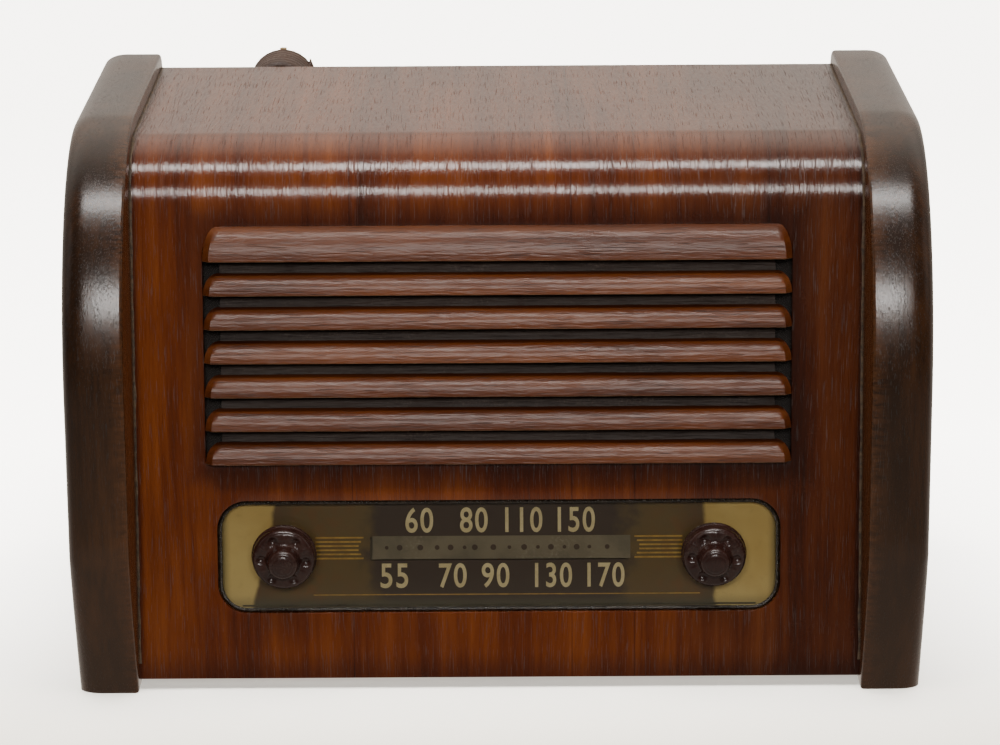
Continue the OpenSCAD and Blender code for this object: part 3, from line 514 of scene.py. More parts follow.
class Finishes:
    """Every material of the radio, made once and found by name."""

    def __init__(self, lean: float, foot: Vector) -> None:
        """Builds them."""
        along_x, along_y = (0, 0, math.pi / 2), (math.pi / 2, 0, 0)
        # The caps carry painted bounce light: they lighten towards the bottom.
        wood_cap = SolidWood(
            "cap_walnut", (0.006, 0.0028, 0.0013), (0.020, 0.0080, 0.0030), (0.052, 0.020, 0.0065),
            (0.15, 0.055, 0.018), rough=0.22, coat=0.0, turn=along_y, relief=0.10, dust=0.0, wear=0.7,
            painted_floor_bounce=(0.028, 0.014, 0.006))
        # On the louvres the pale worn colour marks the lower front arris: partly wear, partly a painted
        # highlight along that edge.
        louver = SolidWood(
            "louver_walnut", (0.026, 0.0060, 0.0016), (0.098, 0.0240, 0.0050), (0.170, 0.050, 0.0125),
            (0.42, 0.25, 0.13), rough=0.30, coat=0.0, gloss=0.40, dust=0.04, turn=along_x, relief=0.30,
            figure=0.003, wear=0.95)
        raw = SolidWood(
            "bare_plywood", (0.16, 0.085, 0.04), (0.30, 0.18, 0.09), (0.44, 0.29, 0.16), (0.5, 0.36, 0.2),
            rough=0.75, coat=0.0, turn=along_x, relief=0.4, dust=1.0)
        tongue = SolidWood(
            "tongue_walnut", (0.012, 0.0062, 0.0040), (0.026, 0.0135, 0.0085), (0.045, 0.025, 0.016),
            (0.1, 0.07, 0.05), rough=0.6, coat=0.05, turn=along_x, relief=0.4, dust=0.6)
        board = SolidWood(
            "fibreboard", (0.055, 0.032, 0.018), (0.10, 0.060, 0.034), (0.15, 0.095, 0.055),
            (0.2, 0.14, 0.09), rough=0.8, coat=0.0, relief=0.2, figure=0.05, dust=0.8)
        self.made = {finish.name: finish.build() for finish in (
            Veneer(), wood_cap, louver, raw, DialPaint(lean, tuple(foot)), board,
            Plain("bakelite", (0.022, 0.0075, 0.0058), (0.034, 0.0125, 0.0090), rough=0.24, scale=140,
                  relief=0.01, dust=0.2),
            Plain("black_bakelite", (0.018, 0.015, 0.013), (0.035, 0.028, 0.024), rough=0.35, coat=0.3),
            Plain("plated_steel", (0.36, 0.35, 0.33), (0.48, 0.46, 0.42), rough=0.42, metal=1.0, dust=0.8),
            Plain("bright_steel", (0.55, 0.54, 0.52), (0.66, 0.65, 0.62), rough=0.28, metal=1.0),
            Plain("bare_aluminium", (0.62, 0.63, 0.64), (0.74, 0.75, 0.76), rough=0.38, metal=1.0, dust=0.6),
            Plain("aged_brass", (0.34, 0.22, 0.075), (0.47, 0.33, 0.13), rough=0.34, metal=1.0),
            Plain("lamination", (0.05, 0.045, 0.04), (0.09, 0.075, 0.06), rough=0.6, metal=0.6),
            Plain("cone_paper", (0.045, 0.035, 0.026), (0.075, 0.058, 0.042),
                  rough=0.9, relief=0.3, scale=90),
            Plain("waxed_cord", (0.30, 0.24, 0.14), (0.40, 0.33, 0.21), rough=0.8, relief=0.3, scale=900),
            Plain("cord_rubber", (0.045, 0.021, 0.013), (0.070, 0.034, 0.021),
                  rough=0.5, relief=0.12, dust=0.7),
            Plain("scale_paint", (0.110, 0.094, 0.074), (0.170, 0.146, 0.112), rough=0.7, scale=60, dust=0.9),
            Plain("pointer_paint", (0.10, 0.018, 0.012), (0.15, 0.03, 0.018), rough=0.5),
            Plain("numeral_ink", (0.55, 0.46, 0.28), (0.66, 0.57, 0.37), rough=0.6, scale=220, dust=0.0),
            Plain("gold_ink", (0.30, 0.17, 0.022), (0.44, 0.27, 0.045), rough=0.45, scale=300, dust=0.0),
            Plain("dot_ink", (0.028, 0.014, 0.012), (0.045, 0.020, 0.016), rough=0.6, dust=0.0),
            # Dark olive paint for the strip behind the pane's foot, standing in for the green glass edge and
            # its shade.
            Plain("edge_seal", (0.030, 0.026, 0.012), (0.060, 0.052, 0.026), rough=0.3, scale=120, dust=0.6),
            # Near-black glossy ring in the gap round the pane: its colour is painted shade for that gap.
            Plain("putty", (0.012, 0.009, 0.006), (0.030, 0.022, 0.014),
                  rough=0.22, scale=500, relief=0.5, dust=0.3),
            Plain("old_glue", (0.030, 0.018, 0.010), (0.105, 0.065, 0.032),
                  rough=0.55, scale=500, relief=0.5),
            Plain("tie_string", (0.42, 0.38, 0.30), (0.55, 0.50, 0.40), rough=0.9, relief=0.4, scale=700),
            Plain("coil_card", (0.16, 0.095, 0.045), (0.24, 0.15, 0.07), rough=0.8, scale=50),
            Glass("pane_glass", (0.97, 0.96, 0.90)), Glass("valve_glass", (0.93, 0.94, 0.95)),
            tongue, Weave("grille_weave", (0.020, 0.014, 0.011), 0.0011),
        )}

    def __getitem__(self, name: str) -> bpy.types.Material:
        """The material of that name."""
        return self.made[name]


# --- shapes -----------------------------------------------------------------------------------------------


@dataclass(frozen=True)
class Place:
    """Finds points of the leaning front panel and of the upright back from the CAD's own boxes."""

    lean: float
    foot: Vector

    @classmethod
    def read(cls, lean: float = 9.6, thick: float = 6.5) -> "Place":
        """Finds the foot of the panel's face. The lowest corner of the CAD's wrap is its back edge."""
        low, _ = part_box("cabinet_wrap")
        return cls(lean, Vector((0.0, low[1] / MM, low[2] / MM + thick * math.sin(math.radians(lean)))))

    def panel(self, x: float, u: float, v: float = 0.0) -> Vector:
        """A point in metres, from how far across it is, how far up the panel and how deep behind its face."""
        turn = math.radians(self.lean)
        y = u * math.sin(turn) + v * math.cos(turn)
        z = u * math.cos(turn) - v * math.sin(turn)
        return Vector((x, self.foot.y + y, self.foot.z + z)) * MM

    def side(self, x: float, y: float, z: float) -> Vector:
        """A point in metres, from the plane of the side view, whose zero is the panel's foot."""
        return Vector((x, self.foot.y + y, self.foot.z + z)) * MM

    @property
    def frame(self) -> Matrix:
        """Turns (across, up the panel, depth) in metres into the row frame."""
        turn = math.radians(self.lean)
        return Matrix((
            (1, 0, 0, 0),
            (0, math.sin(turn), math.cos(turn), self.foot.y * MM),
            (0, math.cos(turn), -math.sin(turn), self.foot.z * MM),
            (0, 0, 0, 1),
        ))


def outward(mesh: bmesh.types.BMesh) -> None:
    """Turns every face of a closed bmesh outwards."""
    bmesh.ops.recalc_face_normals(mesh, faces=mesh.faces[:])
    if mesh.calc_volume(signed=True) < 0:
        bmesh.ops.reverse_faces(mesh, faces=mesh.faces[:])


def linked(name: str, data: bpy.types.ID) -> bpy.types.Object:
    """A new object in the scene that holds the data."""
    piece = bpy.data.objects.new(name, data)
    bpy.context.scene.collection.objects.link(piece)
    return piece


def finish_mesh(name: str, mesh: bmesh.types.BMesh, material: bpy.types.Material, body: Bodies,
                smooth: float = 40.0) -> bpy.types.Object:
    """Turns a bmesh in metres into a piece.

    Args:
        name: the piece's name.
        mesh: the geometry, freed here.
        material: its material.
        body: the body it rides on.
        smooth: the angle below which edges are shaded smooth.

    Returns:
        The piece, with its origin at the frame's.
    """
    outward(mesh)
    data = bpy.data.meshes.new(name)
    mesh.to_mesh(data)
    mesh.free()
    data.materials.append(material)
    return place_mesh(name, data, body, smooth)


def place_mesh(name: str, data: bpy.types.Mesh, body: Bodies, smooth: float = 40.0) -> bpy.types.Object:
    """Links a mesh as a piece on a body, smooth below an angle."""
    piece = linked(name, data)
    data.shade_smooth()
    data.set_sharp_from_angle(angle=math.radians(smooth))
    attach(piece, body.value)
    LOG.info("made %s on %s", name, body.value)
    return piece


def prism(outline: list[Vector], depth: Vector) -> bmesh.types.BMesh:
    """A closed bmesh made from a flat outline pushed along a vector."""
    mesh = bmesh.new()
    face = mesh.faces.new([mesh.verts.new(p) for p in outline])
    moved = bmesh.ops.extrude_face_region(mesh, geom=[face])["geom"]
    bmesh.ops.translate(mesh, verts=[v for v in moved if isinstance(v, bmesh.types.BMVert)], vec=depth)
    outward(mesh)
    return mesh


def skin(mesh: bmesh.types.BMesh, rows: list[list[bmesh.types.BMVert]], capped: bool = True) -> None:
    """Joins rows of closed loops with faces, and closes both ends if capped."""
    for a, b in zip(rows, rows[1:]):
        for k in range(len(a)):
            j = (k + 1) % len(a)
            mesh.faces.new((a[k], a[j], b[j], b[k]))
    if capped:
        mesh.faces.new(rows[0])
        mesh.faces.new(list(reversed(rows[-1])))


def bevel(mesh: bmesh.types.BMesh, width: float, segments: int, chosen: Callable | None = None,
          angle: float = 30.0) -> None:
    """Rounds the sharp edges of a bmesh.

    Args:
        mesh: the bmesh.
        width: the rounding's width in metres.
        segments: how many faces across it.
        chosen: picks among the sharp edges.
        angle: edges flatter than this, in degrees, are left.
    """
    edges = [e for e in mesh.edges if e.is_manifold and math.degrees(e.calc_face_angle(0.0)) > angle
             and (chosen is None or chosen(e))]
    bmesh.ops.bevel(mesh, geom=edges, offset=width, offset_type="OFFSET", segments=segments, profile=0.5,
                    affect="EDGES", clamp_overlap=True, material=-1)


def box(low: Iterable[float], high: Iterable[float]) -> bmesh.types.BMesh:
    """A box between two corners in millimetres, as a bmesh in metres."""
    low, high = Vector(low) * MM, Vector(high) * MM
    corners = ((low.x, low.y), (high.x, low.y), (high.x, high.y), (low.x, high.y))
    return prism([Vector((x, y, low.z)) for x, y in corners], Vector((0, 0, high.z - low.z)))


def rounded_outline(half_w: float, low: float, high: float, radius: float, corners: str = "all",
                    steps: int = 10) -> list[tuple[float, float]]:
    """A rounded oblong as (across, up) points in millimetres; corners is all or top."""
    lower = radius if corners == "all" else 0.6
    points = []
    for cx, cy, r, start in ((half_w, high, radius, 0), (-half_w, high, radius, 90),
                             (-half_w, low, lower, 180), (half_w, low, lower, 270)):
        mid_x = cx - math.copysign(r, cx)
        mid_y = cy - r if start < 180 else cy + r
        for i in range(steps + 1):
            turn = math.radians(start + 90 * i / steps)
            points.append((mid_x + r * math.cos(turn), mid_y + r * math.sin(turn)))
    return points


def spin_profile(profile: Iterable[tuple[float, float]], steps: int) -> bmesh.types.BMesh:
    """A turned solid about +Y from (radius, y) points in millimetres, as a bmesh in metres at the origin."""
    mesh = bmesh.new()
    verts = [mesh.verts.new(Vector((r, y, 0)) * MM) for r, y in profile]
    edges = [mesh.edges.new(pair) for pair in zip(verts, verts[1:])]
    bmesh.ops.spin(mesh, geom=verts + edges, cent=(0, 0, 0), axis=(0, 1, 0), dvec=(0, 0, 0),
                   angle=2 * math.pi, steps=steps, use_merge=True, use_duplicate=False)
    bmesh.ops.remove_doubles(mesh, verts=mesh.verts[:], dist=1e-6)
    outward(mesh)
    return mesh


def rounding(centre: float, start: float, wide: float, deep: float, steps: int) -> list[tuple[float, float]]:
    """A quarter-ellipse of a turned profile, from its widest radius to its front."""
    turns = [math.radians(90 * i / steps) for i in range(1, steps + 1)]
    return [(centre + wide * math.cos(t), start - deep * math.sin(t)) for t in turns]


def bezier_points(start, control_1, control_2, end, steps: int) -> list[tuple[float, float]]:
    """Points of a cubic Bezier in two dimensions, its end left off."""
    points = []
    for i in range(steps):
        t = i / steps
        weights = ((1 - t) ** 3, 3 * t * (1 - t) ** 2, 3 * t * t * (1 - t), t ** 3)
        shares = list(zip(weights, (start, control_1, control_2, end)))
        points.append(tuple(sum(w * p[k] for w, p in shares) for k in (0, 1)))
    return points


def smooth_path(points: Iterable[Iterable[float]], step: float) -> list[Vector]:
    """A Catmull-Rom path through points, evenly stepped."""
    knots = [Vector(p) for p in points]
    knots = [2 * knots[0] - knots[1], *knots, 2 * knots[-1] - knots[-2]]
    fine = []
    for a, b, c, d in zip(knots, knots[1:], knots[2:], knots[3:]):
        count = max(8, int((c - b).length / (step * 0.2)))
        for i in range(count):
            t = i / count
            fine.append(0.5 * ((2 * b) + (c - a) * t + (2 * a - 5 * b + 4 * c - d) * t ** 2
                               + (3 * b - a - 3 * c + d) * t ** 3))
    fine.append(knots[-2])
    kept, run = [fine[0]], 0.0
    for a, b in zip(fine, fine[1:]):
        run += (b - a).length
        if run >= step:
            kept.append(b)
            run = 0.0
    if (kept[-1] - fine[-1]).length > step * 0.3:
        kept.append(fine[-1])
    else:
        kept[-1] = fine[-1]
    return kept


def tube(name: str, points: list[Vector], radius: float) -> bpy.types.Object:
    """A curve tube through points in metres, linked to the scene."""
    curve = bpy.data.curves.new(name, "CURVE")
    curve.dimensions = "3D"
    curve.bevel_depth = radius
    curve.bevel_resolution = 4
    curve.use_fill_caps = True
    spline = curve.splines.new("POLY")
    spline.points.add(len(points) - 1)
    for slot, point in zip(spline.points, points, strict=True):
        slot.co = (*point, 1.0)
    return linked(name, curve)


def repaint(finishes: Finishes, names: Iterable[str], finish: str) -> None:
    """Gives CAD nodes a material and smooth shading, with their sharp edges kept."""
    for name in names:
        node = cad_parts[name]
        node.data.materials.clear()
        node.data.materials.append(finishes[finish])
        node.data.shade_smooth()
        node.data.set_sharp_from_angle(angle=math.radians(35))


# --- the object's sub-assemblies --------------------------------------------------------------------------


@dataclass
class Camera:
    """The view from in front and a little above."""

    spot: tuple = (0.0008, -1.2857, 0.5227)
    pitch: float = 18.0
    roll: float = 0.33
    lens: float = 119.8

    def build(self) -> None:
        """Makes the camera and picks it for the scene."""
        data = bpy.data.cameras.new("camera")
        data.lens = self.lens
        data.sensor_width = 36.0
        camera = linked("camera", data)
        tilt = Matrix.Rotation(math.radians(90 - self.pitch), 4, "X")
        roll = Matrix.Rotation(math.radians(-self.roll), 4, "Z")
        camera.matrix_world = Matrix.Translation(self.spot) @ (tilt @ roll)
        bpy.context.scene.camera = camera


@dataclass
class PowerCord:
    """The rubber power cord: out of the back, folded into a tied hank on its hook, and down to the plug."""

    finishes: Finishes
    radius: float = 2.0
    lead: tuple = ((-30, 111, 29), (-30, 118, 28.6), (-31, 126, 26), (-33, 134, 20), (-37, 141, 12),
                   (-43, 147, 5.5), (-50, 151, 2.6), (-58, 153, 2), (-66, 152.5, 2), (-73, 149, 2),
                   (-78, 142.5, 3.6), (-80, 135.5, 8), (-80, 129.5, 15), (-80, 125, 25), (-80, 122.4, 38),
                   (-80, 121.6, 55), (-80, 121.6, 75), (-80, 121.6, 95))
    tail: tuple = ((-104, 99, 95), (-104, 99, 70), (-104, 99, 48), (-104, 100, 32), (-104, 103.5, 20),
                   (-104, 110, 10), (-104, 119, 4), (-104, 129, 2), (-104, 139, 2), (-106, 148.5, 2),
                   (-111.5, 156, 2), (-120, 160, 2.2), (-129, 158.5, 4), (-136, 152.5, 6.8), (-140, 144, 8.8),
                   (-141.5, 138, 9))
    bend: float = 12.0
    middle: float = -92.0
    top: float = 198.7
    bottom: float = 118.7
    rear: float = 121.6
    front: float = 99.0
    loops: int = 6
    length: float = 1.8

    def build(self) -> None:
        """Makes the cord as one curve, with the tie round the hank, the plug and the strain relief."""
        path = smooth_path([*self.lead, (-80, 121.6, 112), *self._hank(), (-104, 99, 112), *self.tail], 2.6)
        cord = tube("power_cord", [p * MM for p in path], self.radius * MM)
        cord.data.materials.append(self.finishes["cord_rubber"])
        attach(cord, Bodies.CABINET.value)
        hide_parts("power_cord_lead", "power_cord_hank", "power_cord_tail")
        tie = self._tie()
        repaint(self.finishes, ["power_plug", "cord_grommet"], "black_bakelite")
        repaint(self.finishes, ["cord_hook"], "aged_brass")

    def _hank(self) -> list[tuple[float, float, float]]:
        """Points round the hank's flat loops, from the rearmost right run to the foremost left run."""
        points = []
        bends = 2 * self.loops - 1
        pitch = (self.rear - self.front) / bends
        for n in range(bends):
            top = n % 2 == 0
            centre = self.top if top else self.bottom
            begin = 0 if top else 180
            for i in range(9):
                share = i / 8
                turn = math.radians(begin + 180 * share)
                points.append((self.middle + self.bend * math.cos(turn), self.rear - pitch * (n + share),
                               centre + self.bend * math.sin(turn)))
            if n < bends - 1:
                x = self.middle - self.bend if top else self.middle + self.bend
                y = self.rear - pitch * (n + 1)
                span = (self.top - self.bottom) / 4
                for k in (1, 2, 3):
                    points.append((x, y, self.top - span * k if top else self.bottom + span * k))
        return points

    def _tie(self) -> bpy.types.Object:
        """A string wound round the middle of the hank and knotted."""
        points, turns, steps = [], 5, 48
        mid_y = (self.rear + self.front) / 2
        half_x, half_y = self.bend + self.radius + 0.5, (self.rear - self.front) / 2 + self.radius + 0.5
        for i in range(turns * steps + 1):
            turn = 2 * math.pi * i / steps
            flat = 6.0
            scale = (abs(math.cos(turn)) ** flat + abs(math.sin(turn)) ** flat) ** (-1 / flat)
            points.append(Vector((self.middle + half_x * scale * math.cos(turn),
                                  mid_y + half_y * scale * math.sin(turn), 157.0 + 1.15 * i / steps)) * MM)
        tie = tube("hank_tie", points, 0.55 * MM)
        tie.data.materials.append(self.finishes["tie_string"])
        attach(tie, Bodies.CABINET.value)
        return tie


@dataclass
class Cabinet:
    """The veneered wrap, the two bowed end caps and the boards inside."""

    finishes: Finishes
    place: Place
    half_width: float = 141.5
    thick: float = 6.5
    bend_radius: float = 26.0
    bend_start: float = 187.46
    bend_centre: tuple = (56.90, 180.5)
    top: float = 206.5
    back: float = 172.0
    grille: tuple = (114.0, 86.0, 178.4, 11.5)
    dial: tuple = (110.0, 26.1, 70.8, 11.5)
    cap_thick: float = 23.5
    cap_back: float = 176.0
    crown: float = 213.0

    def build(self) -> None:
        """Makes every piece of the cabinet."""
        self._wrap()
        for side in Side:
            self._cap(side)
            self._groove(side)
        repaint(self.finishes, ["bottom_board", "glue_blocks", "side_cleats", "speaker_baffle"],
                "bare_plywood")

    def _section(self, inward: float) -> list[tuple[float, float, float]]:
        """The wrap's section at a depth under its face, as (y, z, length along the face) in millimetres."""
        turn = math.radians(self.place.lean)
        radius = self.bend_radius - inward
        points = []
        count = 30
        for i in range(count):
            u = self.bend_start * i / count
            points.append((u * math.sin(turn) + inward * math.cos(turn),
                           u * math.cos(turn) - inward * math.sin(turn), u))
        sweep = math.pi / 2 - turn
        for i in range(29):
            angle = math.pi - turn - sweep * i / 28
            points.append((self.bend_centre[0] + radius * math.cos(angle),
                           self.bend_centre[1] + radius * math.sin(angle),
                           self.bend_start + self.bend_radius * sweep * i / 28))
        run = self.bend_start + self.bend_radius * sweep
        first = self.bend_centre[0]
        for i in range(1, 13):
            y = first + (self.back - first) * i / 12
            points.append((y, self.top - inward, run + y - first))
        return points

    def _wrap(self) -> None:
        """The bent sheet, with its grille and dial openings cut and their edges rounded."""
        outer, inner = self._section(0.0), self._section(self.thick)
        stations = [-self.half_width + 2 * self.half_width * i / 40 for i in range(41)]
        mesh = bmesh.new()
        layer = mesh.loops.layers.uv.new("UVMap")
        rows = {}
        for key, section in (("out", outer), ("in", inner)):
            rows[key] = [[mesh.verts.new(self.place.side(x, y, z)) for x in stations] for y, z, _ in section]
        last = len(outer) - 1
        front, rear = rows["out"], rows["in"]
        for i in range(last):
            for k in range(len(stations) - 1):
                mesh.faces.new((front[i][k], front[i][k + 1], front[i + 1][k + 1], front[i + 1][k]))
                mesh.faces.new((rear[i][k], rear[i + 1][k], rear[i + 1][k + 1], rear[i][k + 1]))
            for k in (0, len(stations) - 1):
                mesh.faces.new((front[i][k], front[i + 1][k], rear[i + 1][k], rear[i][k]))
        for i in (0, last):
            for k in range(len(stations) - 1):
                mesh.faces.new((front[i][k], rear[i][k], rear[i][k + 1], front[i][k + 1]))
        run_of = {v: outer[n][2] for name in ("out", "in") for n, row in enumerate(rows[name]) for v in row}
        for face in mesh.faces:
            for loop in face.loops:
                loop[layer].uv = (loop.vert.co.x, run_of[loop.vert] * MM)
        outward(mesh)
        wrap = finish_mesh("veneered_wrap", mesh, self.finishes["walnut_veneer"], Bodies.CABINET)
        for hole in (self.grille, self.dial):
            self._cut(wrap, hole, "top" if hole is self.grille else "all")
        self._edge_wear(wrap)
        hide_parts("cabinet_wrap")

    def _cut(self, wrap: bpy.types.Object, hole: tuple, corners: str) -> None:
        """Cuts one opening through the panel with a Boolean that is applied at once."""
        half, low, high, radius = hole
        outline = [Vector((x, u, -4.0)) * MM for x, u in rounded_outline(half, low, high, radius, corners)]
        mesh = prism(outline, Vector((0, 0, (self.thick + 8.0) * MM)))
        mesh.transform(self.place.frame)
        data = bpy.data.meshes.new("cutter")
        outward(mesh)
        mesh.to_mesh(data)
        mesh.free()
        cutter = linked("cutter", data)
        change = wrap.modifiers.new("opening", "BOOLEAN")
        change.object = cutter
        change.operation = "DIFFERENCE"
        change.solver = "EXACT"
        bpy.context.view_layer.update()
        cut = bpy.data.meshes.new_from_object(wrap.evaluated_get(bpy.context.evaluated_depsgraph_get()))
        wrap.modifiers.clear()
        wrap.data = cut
        bpy.data.objects.remove(cutter)

    def _edge_wear(self, wrap: bpy.types.Object) -> None:
        """Rounds the openings' front edges and gives the cut edges a UV along the panel."""
        mesh = bmesh.new()
        mesh.from_mesh(wrap.data)
        bmesh.ops.dissolve_degenerate(mesh, dist=1e-6, edges=mesh.edges[:])
        layer = mesh.loops.layers.uv.verify()
        back = self.place.frame.inverted()
        depth = self.place.frame.to_3x3() @ Vector((0, 0, 1))
        front = [e for e in mesh.edges if e.is_manifold and e.calc_face_angle(0.0) > math.radians(50)
                 and all(abs((back @ v.co).z) < 0.00005 for v in e.verts)
                 and all(0.004 < (back @ v.co).y < 0.182 and abs(v.co.x) < 0.1185 for v in e.verts)]
        bmesh.ops.bevel(mesh, geom=front, offset=0.0007, offset_type="OFFSET", segments=3, profile=0.5,
                        affect="EDGES", clamp_overlap=True, material=-1)
        for face in mesh.faces:
            centre = back @ face.calc_center_median()
            if abs(face.normal.x) < 0.999 and 0.0 < centre.y < 0.185 and abs(face.normal.dot(depth)) < 0.9:
                for loop in face.loops:
                    local = back @ loop.vert.co
                    loop[layer].uv = (local.x, local.y)
        mesh.to_mesh(wrap.data)
        mesh.free()
        wrap.data.shade_smooth()
        wrap.data.set_sharp_from_angle(angle=math.radians(35))

    def _outline(self) -> list[tuple[float, float]]:
        """An end cap's outline in the side view, from its front foot over the crown to the rear foot."""
        belly, shoulder = (-18.6, 56.0), (-13.7, 119.0)
        points = bezier_points((-3.0, -4.7), (-9.0, 16.0), (-15.8, 38.0), belly, 14)
        points += [tuple(Vector(belly).lerp(Vector(shoulder), i / 8)) for i in range(8)]
        points += bezier_points(shoulder, (shoulder[0] + 3.9, shoulder[1] + 49.8), (20.0, self.crown),
                                (62.0, self.crown), 34)
        points += [(62.0 + (self.cap_back - 8 - 62.0) * i / 6, self.crown) for i in range(6)]
        for i in range(9):
            turn = math.radians(90 - 90 * i / 8)
            points.append((self.cap_back - 8 + 8 * math.cos(turn), self.crown - 8 + 8 * math.sin(turn)))
        points += [(self.cap_back, self.crown - 8 - (self.crown - 8 + 4.7) * i / 12) for i in range(1, 13)]
        return points

    def _cap(self, side: Side) -> None:
        """A bowed end cap, whose outer edge is rounded wider across than it is deep."""
        inner, outer = self.half_width, self.half_width + self.cap_thick
        wide, deep = 9.0, 5.0
        squeeze = deep / wide
        outline = self._outline()
        mesh = prism([self.place.side(inner * squeeze, y, z) for y, z in outline],
                     Vector(((outer - inner) * squeeze * MM, 0, 0)))
        bevel(mesh, deep * MM, 8, lambda e: all(v.co.x > (outer * squeeze - 0.01) * MM for v in e.verts)
              and not all(v.co.z < 0.0003 for v in e.verts), angle=50)
        mesh.transform(Matrix.Scale(1 / squeeze, 4, (1, 0, 0)))
        bevel(mesh, 1.3 * MM, 3, lambda e: all(v.co.x < (inner + 0.05) * MM for v in e.verts), angle=50)
        wear = mesh.verts.layers.float.new("wear")
        for vert in mesh.verts:
            near = max((vert.co.x / MM - (outer - 2.5)) / 2.5, 0.0) * 0.35
            inner_edge = 0.85 if vert.co.x / MM < inner + 1.6 else 0.0
            vert[wear] = min(1.0, near + inner_edge) if vert.co.x / MM > inner + 0.05 else 1.0
        if side is Side.LEFT:
            mesh.transform(Matrix.Scale(-1, 4, (1, 0, 0)))
        name = side.name.lower()
        cap = finish_mesh(f"{name}_cap_wood", mesh, self.finishes["cap_walnut"], Bodies.CABINET, 50)
        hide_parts(f"{name}_end_cap")

    def _groove(self, side: Side) -> None:
        """A bead of old glue along the joint between wrap and cap, uneven in width and height."""
        mesh = bmesh.new()
        rows = []
        section = self._section(0.0)
        for i, (y, z, run) in enumerate(section):
            if run < 6.0:
                continue
            before, after = section[max(i - 1, 0)], section[min(i + 1, len(section) - 1)]
            way = Vector((0.0, after[0] - before[0], after[1] - before[1])).normalized()
            out = Vector((0.0, -way.z, way.y))
            ragged = noise.noise(Vector((run * 0.11, 7.0 * side.value, 2.0)))
            width = 0.9 + 0.55 * ragged
            lift = 0.12 + 0.16 * max(0.0, noise.noise(Vector((run * 0.23, 3.0, 5.0 * side.value))))
            base = self.place.side(0, y, z)
            row = []
            for across, height in ((0.0, 0.02), (0.35, lift), (0.75, lift * 0.7), (1.0, 0.0)):
                x = side.value * (self.half_width - width * across + 0.05)
                row.append(mesh.verts.new(base + Vector((x, 0, 0)) * MM + out * height * MM))
            keel = Vector((side.value * (self.half_width - width * 0.5), 0, 0))
            row.append(mesh.verts.new(base + keel * MM - out * 0.6 * MM))
            rows.append(row)
        skin(mesh, rows)
        finish_mesh(f"{side.name.lower()}_glue_line", mesh, self.finishes["old_glue"], Bodies.CABINET)


